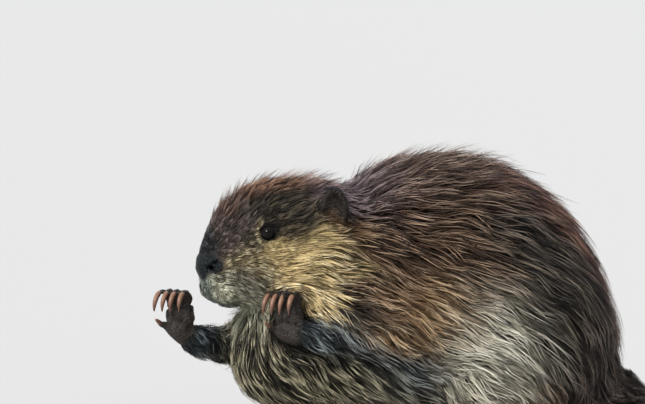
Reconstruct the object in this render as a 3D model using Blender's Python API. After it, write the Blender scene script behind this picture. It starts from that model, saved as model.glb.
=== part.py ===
"""A life-size still model of a young adult North American beaver.

It sits hunched on level ground and faces -Y, with its left side at +X. Both forepaws are closed in
front of its mouth. The origin is the middle of the whole model's footprint, at floor level.

Sizes are in millimetres along the body's own axes: Y runs from nose to tail, with 0 under the top
of the back, and Z starts at the floor. The objects are in metres.
"""

from math import cos, pi, radians, sin

import bmesh
import bpy
from mathutils import Matrix, Vector

MM = 0.001
GAP = 0.3 * MM
UP = Vector((0, 0, 1))

# Driving dimensions.
BACK_HEIGHT = 266
RUMP_END = 171
BELLY_CLEARANCE = 14
EAR_LINE = Vector((10, -113, 220))
HEAD_YAW = radians(13)
HEAD_PITCH = radians(-25)
EYE_RADIUS = 5.4
EYE_PROUD = 2.6
TAIL_ROOT = 176
TAIL_END = 428
TAIL_WIDTH = 116
TAIL_NECK_WIDTH = 48

# The head's own axes: forward to the nose, towards its left ear, and up through the crown.
HEAD_FORWARD = Vector(
    (sin(HEAD_YAW) * cos(HEAD_PITCH), -cos(HEAD_YAW) * cos(HEAD_PITCH), sin(HEAD_PITCH))
)
HEAD_LEFT = Vector((cos(HEAD_YAW), sin(HEAD_YAW), 0.0))
HEAD_UP = HEAD_FORWARD.cross(HEAD_LEFT)

# Trunk stations: y, underside, height of the widest line, top, half-width.
TRUNK = (
    (-190, 70, 90, 104, 22),
    (-184, 52, 88, 118, 40),
    (-165, 36, 90, 146, 56),
    (-140, 26, 92, 186, 63),
    (-110, 20, 95, 219, 69),
    (-80, 16, 98, 242, 77),
    (-45, BELLY_CLEARANCE, 100, 260, 89),
    (0, BELLY_CLEARANCE, 100, BACK_HEIGHT, 100),
    (40, BELLY_CLEARANCE, 100, 263, 106),
    (75, BELLY_CLEARANCE, 98, 250, 107),
    (105, 15, 95, 233, 101),
    (130, 18, 92, 208, 89),
    (150, 22, 88, 177, 71),
    (164, 30, 82, 145, 49),
    (RUMP_END, 44, 76, 108, 24),
)

# Head stations: distance forward of the ear line, underside, widest line, top, half-width.
HEAD = (
    (131, -24, -12, 3, 9),
    (129, -37, -16, 8, 15),
    (122, -45, -20, 16, 20),
    (112, -50, -22, 26, 25),
    (96, -56, -24, 40, 34),
    (78, -64, -27, 47, 44),
    (58, -74, -30, 48, 51),
    (36, -82, -32, 44, 57),
    (12, -86, -32, 34, 59),
    (-12, -84, -28, 22, 55),
    (-30, -70, -20, 6, 40),
)

# Sides of the body: 1 is its left, -1 its right. The right arm reaches further forward.
SIDES = {"left": 1, "right": -1}
ARMS = {
    1: {"shoulder": (50, -98, 128), "elbow": (81, -42, 107), "wrist": (71, -134, 106)},
    -1: {"shoulder": (-52, -88, 108), "elbow": (-68, -154, 80), "wrist": (-3, -229, 98)},
}

# Each hand closes round a grip line of this radius, level with the mouth and slanting across it.
GRIP_RADIUS = 8.5
GRIP_ALONG = Vector((0.56, 0.83, 0.0)).normalized()
GRIP_OUT = GRIP_ALONG.cross(UP)
GRIPS = {1: Vector((72, -156, 132)), -1: Vector((9, -246, 130))}

# One finger a row: place along the grip, lean along it at the tip, radius. They curl through
# these angles about the grip line, in degrees, from palm to fingertip to claw tip.
FINGERS = ((-10.5, -5, 3.5), (-3.5, -4, 3.8), (3.5, -3, 3.8), (10.5, -1, 3.4))
FINGER_START, FINGER_END, CLAW_END = 205, 62, -22
FINGER_REACH = GRIP_RADIUS + 4

# Hind toes, inner to outer: fan angle from the foot's axis in degrees, and length.
TOES = ((-24, 62), (-12, 76), (0, 84), (12, 82), (25, 72))
TOE_FAN_CENTRE = 78
FOOT_TURN = radians(13)
FOOT_PLACE = Vector((80, 88, 0))
WEB_THICKNESS = 5

# Colour and roughness of each kind of surface.
FINISHES = {
    "brown coat": ((0.16, 0.09, 0.05), 0.8),
    "dark skin": ((0.035, 0.03, 0.03), 0.6),
    "eyeball": ((0.01, 0.008, 0.007), 0.1),
    "nail": ((0.30, 0.15, 0.10), 0.4),
}


def in_head(forward, left, up):
    """A point given along the head's own axes."""
    return EAR_LINE + HEAD_FORWARD * forward + HEAD_LEFT * left + HEAD_UP * up


# Where each piece lies, by which the loose pieces of the parted flesh are named.
LIMB_SEEDS = {
    "body": Vector((0, -20, 140)),
    "hind_leg_left": Vector((100, 64, 84)),
    "hind_leg_right": Vector((-100, 64, 84)),
    "upper_arm_left": Vector((84, -80, 100)),
    "upper_arm_right": Vector((-74, -120, 90)),
}
BODY_SEEDS = {
    "head": in_head(50, 0, -10),
    "neck": Vector((5, -105, 165)),
    "trunk": Vector((0, 0, 130)),
    "tail_base": Vector((0, 176, 34)),
}
JAW_SEEDS = {"head": in_head(40, 0, 0), "lower_jaw": in_head(90, 0, -60)}


def clear_scene():
    for obj in list(bpy.data.objects):
        bpy.data.objects.remove(obj, do_unlink=True)


# ---- Building forms ----


def object_of(name, mesh):
    made = bpy.data.objects.new(name, mesh)
    bpy.context.scene.collection.objects.link(made)
    return made


def object_from(name, bm):
    """The bmesh, made in millimetres, as an object in metres with its faces pointing out."""
    bmesh.ops.triangulate(bm, faces=bm.faces)
    bmesh.ops.recalc_face_normals(bm, faces=bm.faces)
    bmesh.ops.scale(bm, vec=(MM, MM, MM), verts=bm.verts)
    mesh = bpy.data.meshes.new(name)
    bm.to_mesh(mesh)
    bm.free()
    return object_of(name, mesh)


def axes_matrix(x_axis, y_axis, z_axis):
    return Matrix((x_axis, y_axis, z_axis)).transposed()


def ellipsoid(name, centre, radii, turn=None, rings=16):
    bm = bmesh.new()
    bmesh.ops.create_uvsphere(bm, u_segments=2 * rings, v_segments=rings, radius=1.0)
    bmesh.ops.scale(bm, vec=radii, verts=bm.verts)
    if turn is not None:
        bmesh.ops.transform(bm, matrix=turn.to_4x4(), verts=bm.verts)
    bmesh.ops.translate(bm, vec=centre, verts=bm.verts)
    return object_from(name, bm)


def skin_rings(name, rings):
    """A closed form over a row of rings with equal numbers of points, capped at both ends."""
    bm = bmesh.new()
    rows = [[bm.verts.new(point) for point in ring] for ring in rings]
    for row, after in zip(rows, rows[1:]):
        for i, vert in enumerate(row):
            j = (i + 1) % len(row)
            bm.faces.new((vert, row[j], after[j], after[i]))
    bm.faces.new(rows[0])
    bm.faces.new(rows[-1])
    return object_from(name, bm)


def signed_power(value, power):
    return abs(value) ** power * (1 if value >= 0 else -1)


def section(centre, side, up, half_width, rise, drop, squareness, count):
    """A ring whose halves above and below its widest line have heights of their own."""
    points = []
    for i in range(count):
        turn = 2 * pi * i / count
        across = half_width * signed_power(cos(turn), 2 / squareness)
        height = (rise if sin(turn) > 0 else drop) * signed_power(sin(turn), 2 / squareness)
        points.append(centre + side * across + up * height)
    return points


def smooth_rows(rows, steps):
    """Catmull-Rom rows between the given ones, with each given row kept."""
    made = []
    last = len(rows) - 1
    for i in range(last):
        before, start, end, after = (rows[max(0, min(last, i + k))] for k in (-1, 0, 1, 2))
        for step in range(steps):
            t = step / steps
            made.append(
                tuple(
                    b + 0.5 * t * ((c - a) + t * (2 * a - 5 * b + 4 * c - d + t * (3 * (b - c) + d - a)))
                    for a, b, c, d in zip(before, start, end, after)
                )
            )
    made.append(tuple(rows[last]))
    return made


# A domed end: shift outwards and share of the radius, ring by ring.
DOME = ((0.0, 1.0), (0.40, 0.92), (0.75, 0.66), (0.95, 0.30))


def limb(name, path, radii, count=16, flat=1.0):
    """A tapered round rod along a path, with domed ends. flat squeezes it in height."""
    points = [Vector(point) for point in path]
    last = len(points) - 1
    rings = []
    for i, (point, radius) in enumerate(zip(points, radii)):
        along = (points[min(i + 1, last)] - points[max(i - 1, 0)]).normalized()
        side = along.cross(UP)
        side = side.normalized() if side.length > 0.05 else Vector((1, 0, 0))
        stations = [(0.0, 1.0)]
        if i == 0:
            stations = [(-shift, share) for shift, share in reversed(DOME)]
        if i == last:
            stations = DOME
        for shift, share in stations:
            size = radius * share
            centre = point + along * shift * radius
            height = size * flat
            rings.append(section(centre, side, side.cross(along), size, height, height, 2.0, count))
    return skin_rings(name, rings)


def resample(points, count):
    """Points spaced evenly by number along a broken line."""
    made = []
    for i in range(count):
        place = (len(points) - 1) * i / (count - 1)
        lower = min(int(place), len(points) - 2)
        made.append(points[lower].lerp(points[lower + 1], place - lower))
    return made


# ---- Joining and parting ----


def settle(obj):
    """The object's modifiers applied."""
    graph = bpy.context.evaluated_depsgraph_get()
    graph.update()
    mesh = bpy.data.meshes.new_from_object(obj.evaluated_get(graph))
    obj.modifiers.clear()
    obj.data = mesh


def fuse(name, pieces, voxel, smoothing, triangles):
    """Overlapping forms made one closed surface, relaxed and thinned out to about some triangles."""
    bm = bmesh.new()
    for other in pieces:
        bm.from_mesh(other.data)
        bpy.data.objects.remove(other, do_unlink=True)
    mesh = bpy.data.meshes.new(name)
    bm.to_mesh(mesh)
    bm.free()
    made = object_of(name, mesh)
    remesh = made.modifiers.new("one surface", "REMESH")
    remesh.mode = "VOXEL"
    remesh.voxel_size = voxel * MM
    relax = made.modifiers.new("relax", "SMOOTH")
    relax.factor = 0.5
    relax.iterations = smoothing
    settle(made)
    thin = made.modifiers.new("thin out", "DECIMATE")
    thin.ratio = triangles / sum(len(face.vertices) - 2 for face in made.data.polygons)
    settle(made)
    return made


def hide(cutter):
    cutter.hide_render = True
    cutter.display_type = "WIRE"


def grown(piece):
    """A cutter: the piece with the clearance between neighbours added all round."""
    cutter = object_of(piece.name + " room", piece.data.copy())
    swell = cutter.modifiers.new("clearance", "DISPLACE")
    swell.mid_level = 0.0
    swell.strength = GAP
    settle(cutter)
    hide(cutter)
    return cutter


def cut(host, cutters):
    """The cutters taken from the host, and removed.

    Thin walls leave the host in several bodies, of which the exact solver keeps only one when the
    next wall is cut, so these cuts use the manifold solver.
    """
    for cutter in cutters:
        taken = host.modifiers.new("cut " + cutter.name, "BOOLEAN")
        taken.operation = "DIFFERENCE"
        taken.solver = "MANIFOLD"
        taken.object = cutter
    settle(host)
    for cutter in cutters:
        bpy.data.objects.remove(cutter, do_unlink=True)


def loose_pieces(obj):
    """The object's separate bodies as objects of their own, the one with most points first."""
    for other in bpy.context.selected_objects:
        other.select_set(False)
    bpy.context.view_layer.objects.active = obj
    obj.select_set(True)
    bpy.ops.object.mode_set(mode="EDIT")
    bpy.ops.mesh.select_all(action="SELECT")
    bpy.ops.mesh.separate(type="LOOSE")
    bpy.ops.object.mode_set(mode="OBJECT")
    pieces = sorted(bpy.context.selected_objects, key=lambda one: -len(one.data.vertices))
    for piece in pieces:
        piece.select_set(False)
    return pieces


def make_room(host, pieces):
    """The host with each piece's place cut out of it, and any crumbs between them dropped."""
    cut(host, [grown(piece) for piece in pieces])
    name = host.name
    kept, *crumbs = loose_pieces(host)
    for crumb in crumbs:
        bpy.data.objects.remove(crumb, do_unlink=True)
    kept.name = name
    return kept


def sheet_cutter(name, outline, across):
    """A thin wall through an open outline, swept both ways along a direction."""
    bm = bmesh.new()
    near = [bm.verts.new(point - across) for point in outline]
    far = [bm.verts.new(point + across) for point in outline]
    for i in range(len(outline) - 1):
        bm.faces.new((near[i], near[i + 1], far[i + 1], far[i]))
    made = object_from(name, bm)
    wall = made.modifiers.new("thin cut", "SOLIDIFY")
    wall.thickness = GAP
    wall.offset = 0.0
    hide(made)
    return made


def shell_cutter(name, centre, radii):
    """A thin egg-shaped wall, which parts what lies inside it from what lies outside."""
    made = ellipsoid(name, centre, radii, rings=7)
    wall = made.modifiers.new("thin cut", "SOLIDIFY")
    wall.thickness = GAP
    hide(made)
    return made


def merge_flat_faces(obj):
    """Triangles that share one plane, as on a cut, merged and split again into as few as will do."""
    flat = obj.modifiers.new("flat faces", "DECIMATE")
    flat.decimate_type = "DISSOLVE"
    flat.angle_limit = radians(0.05)
    obj.modifiers.new("triangles", "TRIANGULATE")
    settle(obj)


def part_by(host, walls, seeds):
    """The host cut through by thin walls. Each loose piece takes the name of the nearest seed.

    Crumbs left over, where a limb grazes the trunk, are dropped.
    """
    cut(host, walls)
    host.name = "uncut " + host.name
    made = {}
    for piece in loose_pieces(host):
        middle = sum((vert.co for vert in piece.data.vertices), Vector()) / len(piece.data.vertices)
        free = [name for name in seeds if name not in made]
        if not free:
            bpy.data.objects.remove(piece, do_unlink=True)
            continue
        name = min(free, key=lambda one: (seeds[one] * MM - middle).length)
        piece.name = name
        merge_flat_faces(piece)
        made[name] = piece
    return made


# ---- The body under the coat ----


def trunk_form():
    rings = []
    for y, bottom, middle, top, half_width in smooth_rows(TRUNK, 4):
        centre = Vector((0, y, middle))
        across = Vector((1, 0, 0))
        rings.append(
            section(centre, across, UP, half_width, top - middle, middle - bottom, 2.1, 40)
        )
    return skin_rings("trunk form", rings)


def head_form():
    rings = []
    for forward, bottom, middle, top, half_width in smooth_rows(HEAD, 4):
        centre = in_head(forward, 0, middle)
        rise, drop = top - middle, middle - bottom
        rings.append(section(centre, HEAD_LEFT, HEAD_UP, half_width, rise, drop, 1.9, 36))
    return skin_rings("head form", rings)


def head_features():
    """Muzzle pads, cheeks and brows over the plain head form."""
    turn = axes_matrix(HEAD_LEFT, HEAD_FORWARD, HEAD_UP)
    made = []
    for side in SIDES.values():
        made.append(ellipsoid("lip", in_head(117, side * 12, -24), (16, 18, 15), turn))
        made.append(ellipsoid("cheek", in_head(42, side * 28, -44), (34, 44, 36), turn))
        made.append(ellipsoid("brow", in_head(70, side * 24, 15), (12, 20, 13), turn))
    return made


def flesh_forms():
    """The overlapping masses under one coat."""
    made = [trunk_form(), head_form(), *head_features()]
    made.append(ellipsoid("neck form", Vector((5, -92, 178)), (62, 56, 60)))
    made.append(limb("tail base form", [(0, 120, 52), (0, 160, 40), (0, 190, 27)], (42, 36, 24)))
    for side in SIDES.values():
        arm = ARMS[side]
        shank = [(side * 84, 30, 58), (side * 82, 62, 40), (side * 80, 82, 26)]
        made.append(ellipsoid("haunch form", Vector((side * 66, 72, 104)), (50, 84, 84)))
        made.append(limb("shank form", shank, (36, 32, 22)))
        made.append(limb("upper arm form", [arm["shoulder"], arm["elbow"]], (36, 27)))
    return made


def limb_walls():
    """Thin walls round the hind legs and upper arms, where they leave the trunk."""
    return [
        shell_cutter("left hind leg cut", Vector((102, 64, 84)), (56, 66, 92)),
        shell_cutter("right hind leg cut", Vector((-102, 64, 84)), (56, 66, 92)),
        shell_cutter("left upper arm cut", Vector((86, -74, 106)), (34, 66, 44)),
        shell_cutter("right upper arm cut", Vector((-88, -126, 92)), (38, 62, 50)),
    ]


def body_walls():
    """Thin walls across the body, from the head to the tail."""
    throat = [
        in_head(-10, 0, 110),
        in_head(-10, 0, -50),
        in_head(30, 0, -80),
        in_head(75, 0, -74),
        in_head(170, 0, -50),
    ]
    nape_to_chest = [(-40, 330), (-52, 200), (-75, 140), (-150, 96), (-230, 84)]
    rump = [(128, -40), (190, 146)]
    across = Vector((170, 0, 0))
    return [
        sheet_cutter("head cut", throat, HEAD_LEFT * 120),
        sheet_cutter("neck cut", [Vector((0, y, z)) for y, z in nape_to_chest], across),
        sheet_cutter("tail cut", [Vector((0, y, z)) for y, z in rump], across),
    ]


def mouth_wall():
    """A thin wall from the mouth's front edge to the corner of the jaw, and down behind the chin."""
    outline = [
        in_head(165, 0, -33),
        in_head(112, 0, -37),
        in_head(72, 0, -46),
        in_head(62, 0, -58),
        in_head(58, 0, -120),
    ]
    return sheet_cutter("mouth cut", outline, HEAD_LEFT * 100)


# ---- Nose, eyes and ears ----


def nose():
    turn = axes_matrix(HEAD_LEFT, HEAD_FORWARD, HEAD_UP)
    pad = ellipsoid("pad", in_head(112, 0, -3), (21.0, 20.5, 19.5), turn)
    stem = ellipsoid("stem", in_head(123, 0, -22), (4.5, 8, 12), turn)
    return fuse("nose", [pad, stem], 1.4, 2, 140)


def on_flesh(flesh, forward, up, side):
    """Where the side of the head lies at this distance ahead of the ears and this height."""
    start = in_head(forward, side * 150, up)
    found, place, _, _ = flesh.ray_cast(start * MM, HEAD_LEFT * -side)
    if not found:
        raise ValueError("no flesh beside that point of the head")
    return place / MM


def eye(name, side, flesh):
    place = on_flesh(flesh, 68, 10, side) - HEAD_LEFT * side * (EYE_RADIUS - EYE_PROUD)
    return ellipsoid(name, place, (EYE_RADIUS,) * 3, rings=5)


def ear(name, side, flesh):
    """A small round cup, hollow towards the front and side."""
    facing = (HEAD_LEFT * side * 0.80 + HEAD_FORWARD * 0.52 + HEAD_UP * 0.12).normalized()
    top = (HEAD_UP * 0.93 - HEAD_FORWARD * 0.28 + HEAD_LEFT * side * 0.22).normalized()
    across = top.cross(facing).normalized()
    facing = across.cross(top).normalized()
    centre = on_flesh(flesh, 3, 2.5, side) + HEAD_LEFT * side * 2.5
    turn = axes_matrix(across, top, facing)
    cup = ellipsoid("cup", centre, (13.0, 21.5, 8.0), turn, 12)
    hollow = ellipsoid("hollow", centre + facing * 6.5 + top * 1.0, (9.8, 17.2, 8.0), turn, 12)
    cut(cup, [hollow])
    root = ellipsoid("root", centre - top * 9 - facing * 4, (8, 8, 7), turn, 10)
    return fuse(name, [cup, root], 1.3, 3, 120)


# ---- Arms and hands ----


def forearm(name, side):
    elbow = Vector(ARMS[side]["elbow"])
    wrist = Vector(ARMS[side]["wrist"])
    middle = elbow.lerp(wrist, 0.5) + Vector((0, 0, -2))
    rod = limb(name + " form", [elbow.lerp(wrist, 0.12), middle, wrist], (22, 19, 14.5))
    return fuse(name, [rod], 2.5, 4, 90)


def finger_path(side, finger, start, end, reach):
    """Points along a finger that curls round the grip line, from one angle to another."""
    place, lean, _ = finger
    count = 7
    points = []
    for i in range(count):
        turn = start + (end - start) * i / (count - 1)
        share = (FINGER_START - turn) / (FINGER_START - CLAW_END)
        round_grip = (GRIP_OUT * cos(radians(turn)) + UP * sin(radians(turn))) * reach
        points.append(GRIPS[side] + round_grip + GRIP_ALONG * (place + lean * share))
    return points


def thumb_path(side):
    """The thumb's joints and claw tip: along the grip, out from it and up, at each."""
    steps = ((-5, -7, -22), (-10, -1, -19), (-12, 6, -17), (-13, 14, -12))
    return [GRIPS[side] + GRIP_ALONG * a + GRIP_OUT * o + UP * u for a, o, u in steps]


def hand(name, side):
    grip = GRIPS[side]
    turn = axes_matrix(GRIP_ALONG, GRIP_OUT, UP)
    heel = grip - GRIP_OUT * 8 - UP * 22
    pieces = [
        ellipsoid("palm", grip - GRIP_OUT * 12 - UP * 11, (15, 8, 15), turn),
        ellipsoid("heel of hand", heel, (13, 11, 9), turn),
        limb("wrist form", [heel, ARMS[side]["wrist"]], (11, 12)),
        limb("thumb", thumb_path(side)[:3], (4.2, 3.9, 3.4), 12),
    ]
    for finger in FINGERS:
        path = finger_path(side, finger, FINGER_START, FINGER_END, FINGER_REACH)
        radii = [finger[2] * (1 - 0.03 * i) for i in range(len(path))]
        pieces.append(limb("finger", path, radii, 12))
    return fuse(name, pieces, 1.4, 3, 240)


# A claw's taper, from its root in the flesh to its blunt tip.
CLAW_TAPER = (1.0, 0.95, 0.72, 0.30)


def claw(name, path, width):
    """A curved horn spike along four points, a little deeper than it is wide."""
    rings = []
    last = len(CLAW_TAPER) - 1
    for i, share in enumerate(CLAW_TAPER):
        along = (path[min(i + 1, last)] - path[max(i - 1, 0)]).normalized()
        side = along.cross(UP).normalized()
        size = width * share
        rings.append(section(path[i], side, side.cross(along), size * 0.8, size, size, 2.0, 5))
    return skin_rings(name, rings)


def hand_claws(prefix, side):
    thumb = thumb_path(side)
    root = thumb[2].lerp(thumb[1], 0.25)
    claws = [claw(f"{prefix}_claw_1", resample([root, thumb[3]], len(CLAW_TAPER)), 2.4)]
    for number, finger in enumerate(FINGERS, start=2):
        path = finger_path(side, finger, FINGER_END + 12, CLAW_END, FINGER_REACH + 0.4)
        claws.append(claw(f"{prefix}_claw_{number}", resample(path, len(CLAW_TAPER)), 2.8))
    return claws


# ---- Hind feet ----


def foot_point(side, across, along, height):
    """A point of the foot's plan, from its heel towards its toes, set in the model."""
    turned_x = across * cos(FOOT_TURN) + along * sin(FOOT_TURN)
    turned_y = -across * sin(FOOT_TURN) + along * cos(FOOT_TURN)
    return Vector((side * (FOOT_PLACE.x + turned_x), FOOT_PLACE.y - turned_y, height))


def toe_point(side, toe, share, height):
    """A point at a share of a toe's length. Toes that lie outwards also start outwards."""
    angle, length = toe
    reach = length * share
    across = reach * sin(radians(angle)) + 0.4 * angle
    return foot_point(side, across, TOE_FAN_CENTRE + reach * cos(radians(angle)), height)


def web(side):
    """The skin between the toes, scalloped along its front."""
    corners = [foot_point(side, across, 66, 0) for across in (-20, 20)]
    for toe, after in zip(TOES[::-1], TOES[-2::-1]):
        for t in (0.0, 0.25, 0.5, 0.75):
            between = (toe[0] + (after[0] - toe[0]) * t, toe[1] + (after[1] - toe[1]) * t)
            corners.append(toe_point(side, between, 0.90 - 0.16 * sin(pi * t), 0))
    corners.append(toe_point(side, TOES[0], 0.90, 0))
    bm = bmesh.new()
    face = bm.faces.new([bm.verts.new(corner) for corner in corners])
    raised = bmesh.ops.extrude_face_region(bm, geom=[face])
    lifted = [item for item in raised["geom"] if isinstance(item, bmesh.types.BMVert)]
    bmesh.ops.translate(bm, vec=(0, 0, WEB_THICKNESS), verts=lifted)
    return object_from("web", bm)


def hind_foot(name, side):
    """A long webbed foot, with its sole flat on the floor."""
    sole = [foot_point(side, 0, 8, 10), foot_point(side, 0, 40, 9), foot_point(side, 0, 84, 8)]
    ankle = [foot_point(side, 0, 10, 10), foot_point(side, 2, 14, 30)]
    pieces = [limb("sole", sole, (15, 18, 23), 20, 0.62), limb("ankle", ankle, (13, 15)), web(side)]
    for toe in TOES:
        path = [toe_point(side, toe, share, 6.0 - 2.4 * share) for share in (0.0, 0.35, 0.7, 1.0)]
        pieces.append(limb("toe", path, (7.4, 6.8, 6.0, 5.0), 14))
    made = fuse(name, pieces, 1.7, 3, 280)
    for vert in made.data.vertices:
        vert.co.z = max(vert.co.z, 0.0)
    return made


def foot_claws(prefix, side):
    claws = []
    for number, toe in enumerate(TOES, start=1):
        steps = ((0.98, 4.2), (1.06, 4.8), (1.15, 4.6), (1.23, 2.6))
        path = [toe_point(side, toe, share, height) for share, height in steps]
        claws.append(claw(f"{prefix}_claw_{number}", path, 3.4))
    return claws


# ---- Tail ----


def tail_half_width(share):
    """Half the paddle's width from root to tip: a neck, a long swell and a round end."""
    neck = TAIL_NECK_WIDTH / 2
    swell = neck + (TAIL_WIDTH / 2 - neck) * min(1.0, share / 0.42) ** 0.8
    end = max(0.0, 1 - max(0.0, (share - 0.62) / 0.38) ** 2.3)
    return max(swell * end ** 0.5, 4.0)


def tail():
    """The scaly paddle, flat underneath and low-domed on top, turned a little to one side.

    Its rings stand closer together towards the tip, which keeps the end round.
    """
    steps, under, over = 14, 6, 10
    rings = []
    for i in range(steps + 1):
        share = min(sin(pi / 2 * i / steps), 0.998)
        y = TAIL_ROOT + (TAIL_END - TAIL_ROOT) * share
        x = 10 * share * share
        half = tail_half_width(share)
        thick = 24 - 15 * min(1.0, share / 0.7)
        rim = 4.5 - 1.5 * share
        ring = [Vector((x + half * (1 - 2 * k / under), y, 0)) for k in range(under + 1)]
        for k in range(over + 1):
            t = 1 - 2 * k / over
            dome = (1 - abs(t) ** 2.4) * (thick - rim)
            ring.append(Vector((x - half * t, y, rim + dome)))
        rings.append(ring)
    return skin_rings("tail", rings)


# ---- Finish and place ----


def material(name, colour, roughness):
    """A plain dielectric material in the part's own colour."""
    made = bpy.data.materials.new(name)
    made.use_nodes = True
    shader = made.node_tree.nodes["Principled BSDF"]
    shader.inputs["Base Color"].default_value = (*colour, 1.0)
    shader.inputs["Roughness"].default_value = roughness
    shader.inputs["Metallic"].default_value = 0.0
    return made


def finish_kind(name):
    """The kind of surface that a node of this name has."""
    if "claw" in name:
        return "nail"
    if name.startswith("eye"):
        return "eyeball"
    if name == "tail" or name.startswith(("nose", "ear", "hand", "hind_foot")):
        return "dark skin"
    return "brown coat"


def finish(obj):
    kind = finish_kind(obj.name)
    obj.data.materials.clear()
    obj.data.materials.append(material(obj.name + " " + kind, *FINISHES[kind]))
    obj.data.shade_smooth()
    obj.data.set_sharp_from_angle(angle=radians(50))


def own_origin(obj):
    """The object's origin moved to the middle of its box, and its location set to match."""
    corners = [Vector(corner) for corner in obj.bound_box]
    middle = (corners[0] + corners[6]) / 2
    obj.data.transform(Matrix.Translation(-middle))
    obj.location = middle


def stand_on_origin(pieces):
    """The pieces under one empty, which sets the middle of the footprint at the origin."""
    corners = [vert.co for obj in pieces for vert in obj.data.vertices]
    lowest = Vector([min(corner[axis] for corner in corners) for axis in range(3)])
    highest = Vector([max(corner[axis] for corner in corners) for axis in range(3)])
    body = object_of("beaver", None)
    body.location = -(lowest + highest) / 2
    body.location.z = -lowest.z
    for obj in pieces:
        own_origin(obj)
        obj.parent = body


def main():
    clear_scene()
    flesh = fuse("flesh", flesh_forms(), 3.2, 8, 1600)
    small = {"nose": nose(), "tail": tail()}
    claws = {}
    for word, side in SIDES.items():
        small["eye_" + word] = eye("eye_" + word, side, flesh)
        small["ear_" + word] = ear("ear_" + word, side, flesh)
        small["forearm_" + word] = forearm("forearm_" + word, side)
        small["hand_" + word] = hand("hand_" + word, side)
        small["hind_foot_" + word] = hind_foot("hind_foot_" + word, side)
        claws["hand_" + word] = hand_claws("hand_" + word, side)
        claws["hind_foot_" + word] = foot_claws("hind_foot_" + word, side)
    flesh = make_room(flesh, list(small.values()))
    for word in SIDES:
        make_room(small["forearm_" + word], [small["hand_" + word]])
    for holder, horn in claws.items():
        make_room(small[holder], horn)
    parts = part_by(flesh, limb_walls(), LIMB_SEEDS)
    parts.update(part_by(parts.pop("body"), body_walls(), BODY_SEEDS))
    part_by(parts.pop("head"), [mouth_wall()], JAW_SEEDS)
    pieces = list(bpy.data.objects)
    for piece in pieces:
        finish(piece)
    stand_on_origin(pieces)


main()
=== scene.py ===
"""A young adult North American beaver, life size and still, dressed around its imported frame.

One skin replaces the frame's parts of flesh and lies inside them by the depth of the coat. Tufts
grow out of it along the lie of the coat. Shapes are worked out in millimetres and become meshes in
metres. The animal faces -Y, and its left side is at +X.
"""

from math import cos, pi, radians, sin

import bmesh
import bpy
import numpy as np
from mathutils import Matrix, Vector
from mathutils.bvhtree import BVHTree
from mathutils.kdtree import KDTree


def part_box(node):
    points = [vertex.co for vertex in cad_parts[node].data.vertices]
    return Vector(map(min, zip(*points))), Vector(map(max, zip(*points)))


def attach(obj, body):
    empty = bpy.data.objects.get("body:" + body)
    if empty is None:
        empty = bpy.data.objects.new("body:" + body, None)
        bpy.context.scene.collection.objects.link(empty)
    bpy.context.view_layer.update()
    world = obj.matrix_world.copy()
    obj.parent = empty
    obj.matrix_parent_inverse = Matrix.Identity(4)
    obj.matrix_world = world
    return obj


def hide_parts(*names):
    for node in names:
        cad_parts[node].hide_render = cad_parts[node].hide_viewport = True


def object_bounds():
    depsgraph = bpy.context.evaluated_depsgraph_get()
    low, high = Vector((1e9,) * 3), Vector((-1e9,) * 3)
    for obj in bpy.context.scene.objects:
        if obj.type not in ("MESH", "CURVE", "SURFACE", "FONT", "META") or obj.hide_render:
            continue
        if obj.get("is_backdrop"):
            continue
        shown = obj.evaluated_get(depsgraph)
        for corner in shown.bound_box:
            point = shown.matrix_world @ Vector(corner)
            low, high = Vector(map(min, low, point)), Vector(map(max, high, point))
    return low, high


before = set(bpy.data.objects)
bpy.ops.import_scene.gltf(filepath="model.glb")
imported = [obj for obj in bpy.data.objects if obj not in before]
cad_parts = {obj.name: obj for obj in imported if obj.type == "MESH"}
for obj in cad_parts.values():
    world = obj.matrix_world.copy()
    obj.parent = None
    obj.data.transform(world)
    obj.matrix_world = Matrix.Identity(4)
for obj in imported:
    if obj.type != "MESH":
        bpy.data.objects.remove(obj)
cad_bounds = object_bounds()

MM = 0.001
SIDES = {"left": 1, "right": -1}
LIMBS = ("upper_arm", "forearm", "hand", "hind_leg", "hind_foot", "ear")
ENDS = ("hand", "hind_foot", "ear")
BARE = ("nose", "tail", *(f"{part}_{side}" for part in ENDS for side in SIDES))
FLESH = (
    *("head", "lower_jaw", "neck", "trunk", "tail_base", "tail", "nose"),
    *(f"{part}_{side}" for part in LIMBS for side in SIDES),
)


# ---- Places on the animal ----


def centre_of(node):
    low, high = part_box(node)
    return np.array((low + high) / 2) / MM


# The head's own axes: forward to the nose, towards its left ear, and up through the crown.
HEAD_YAW, HEAD_PITCH = radians(13), radians(-25)
FORWARD = np.array(
    (sin(HEAD_YAW) * cos(HEAD_PITCH), -cos(HEAD_YAW) * cos(HEAD_PITCH), sin(HEAD_PITCH))
)
LEFT = np.array((cos(HEAD_YAW), sin(HEAD_YAW), 0.0))
CROWN = np.cross(FORWARD, LEFT)
HEAD_AXES = np.stack((FORWARD, LEFT, CROWN))
EYES = {side: centre_of("eye_" + side) for side in SIDES}
EYE_FORWARD, EYE_UP = 68, 10
EYE_RADIUS = float(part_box("eye_left")[1].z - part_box("eye_left")[0].z) / MM / 2
EARS = [centre_of("ear_" + side) for side in SIDES]
EAR_LINE = sum(EYES.values()) / 2 - FORWARD * EYE_FORWARD - CROWN * EYE_UP


def in_head(forward, left, up):
    return EAR_LINE + np.array((forward, left, up), float) @ HEAD_AXES


def to_head(points):
    return (points - EAR_LINE) @ HEAD_AXES.T


# ---- The coat's plan ----

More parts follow.
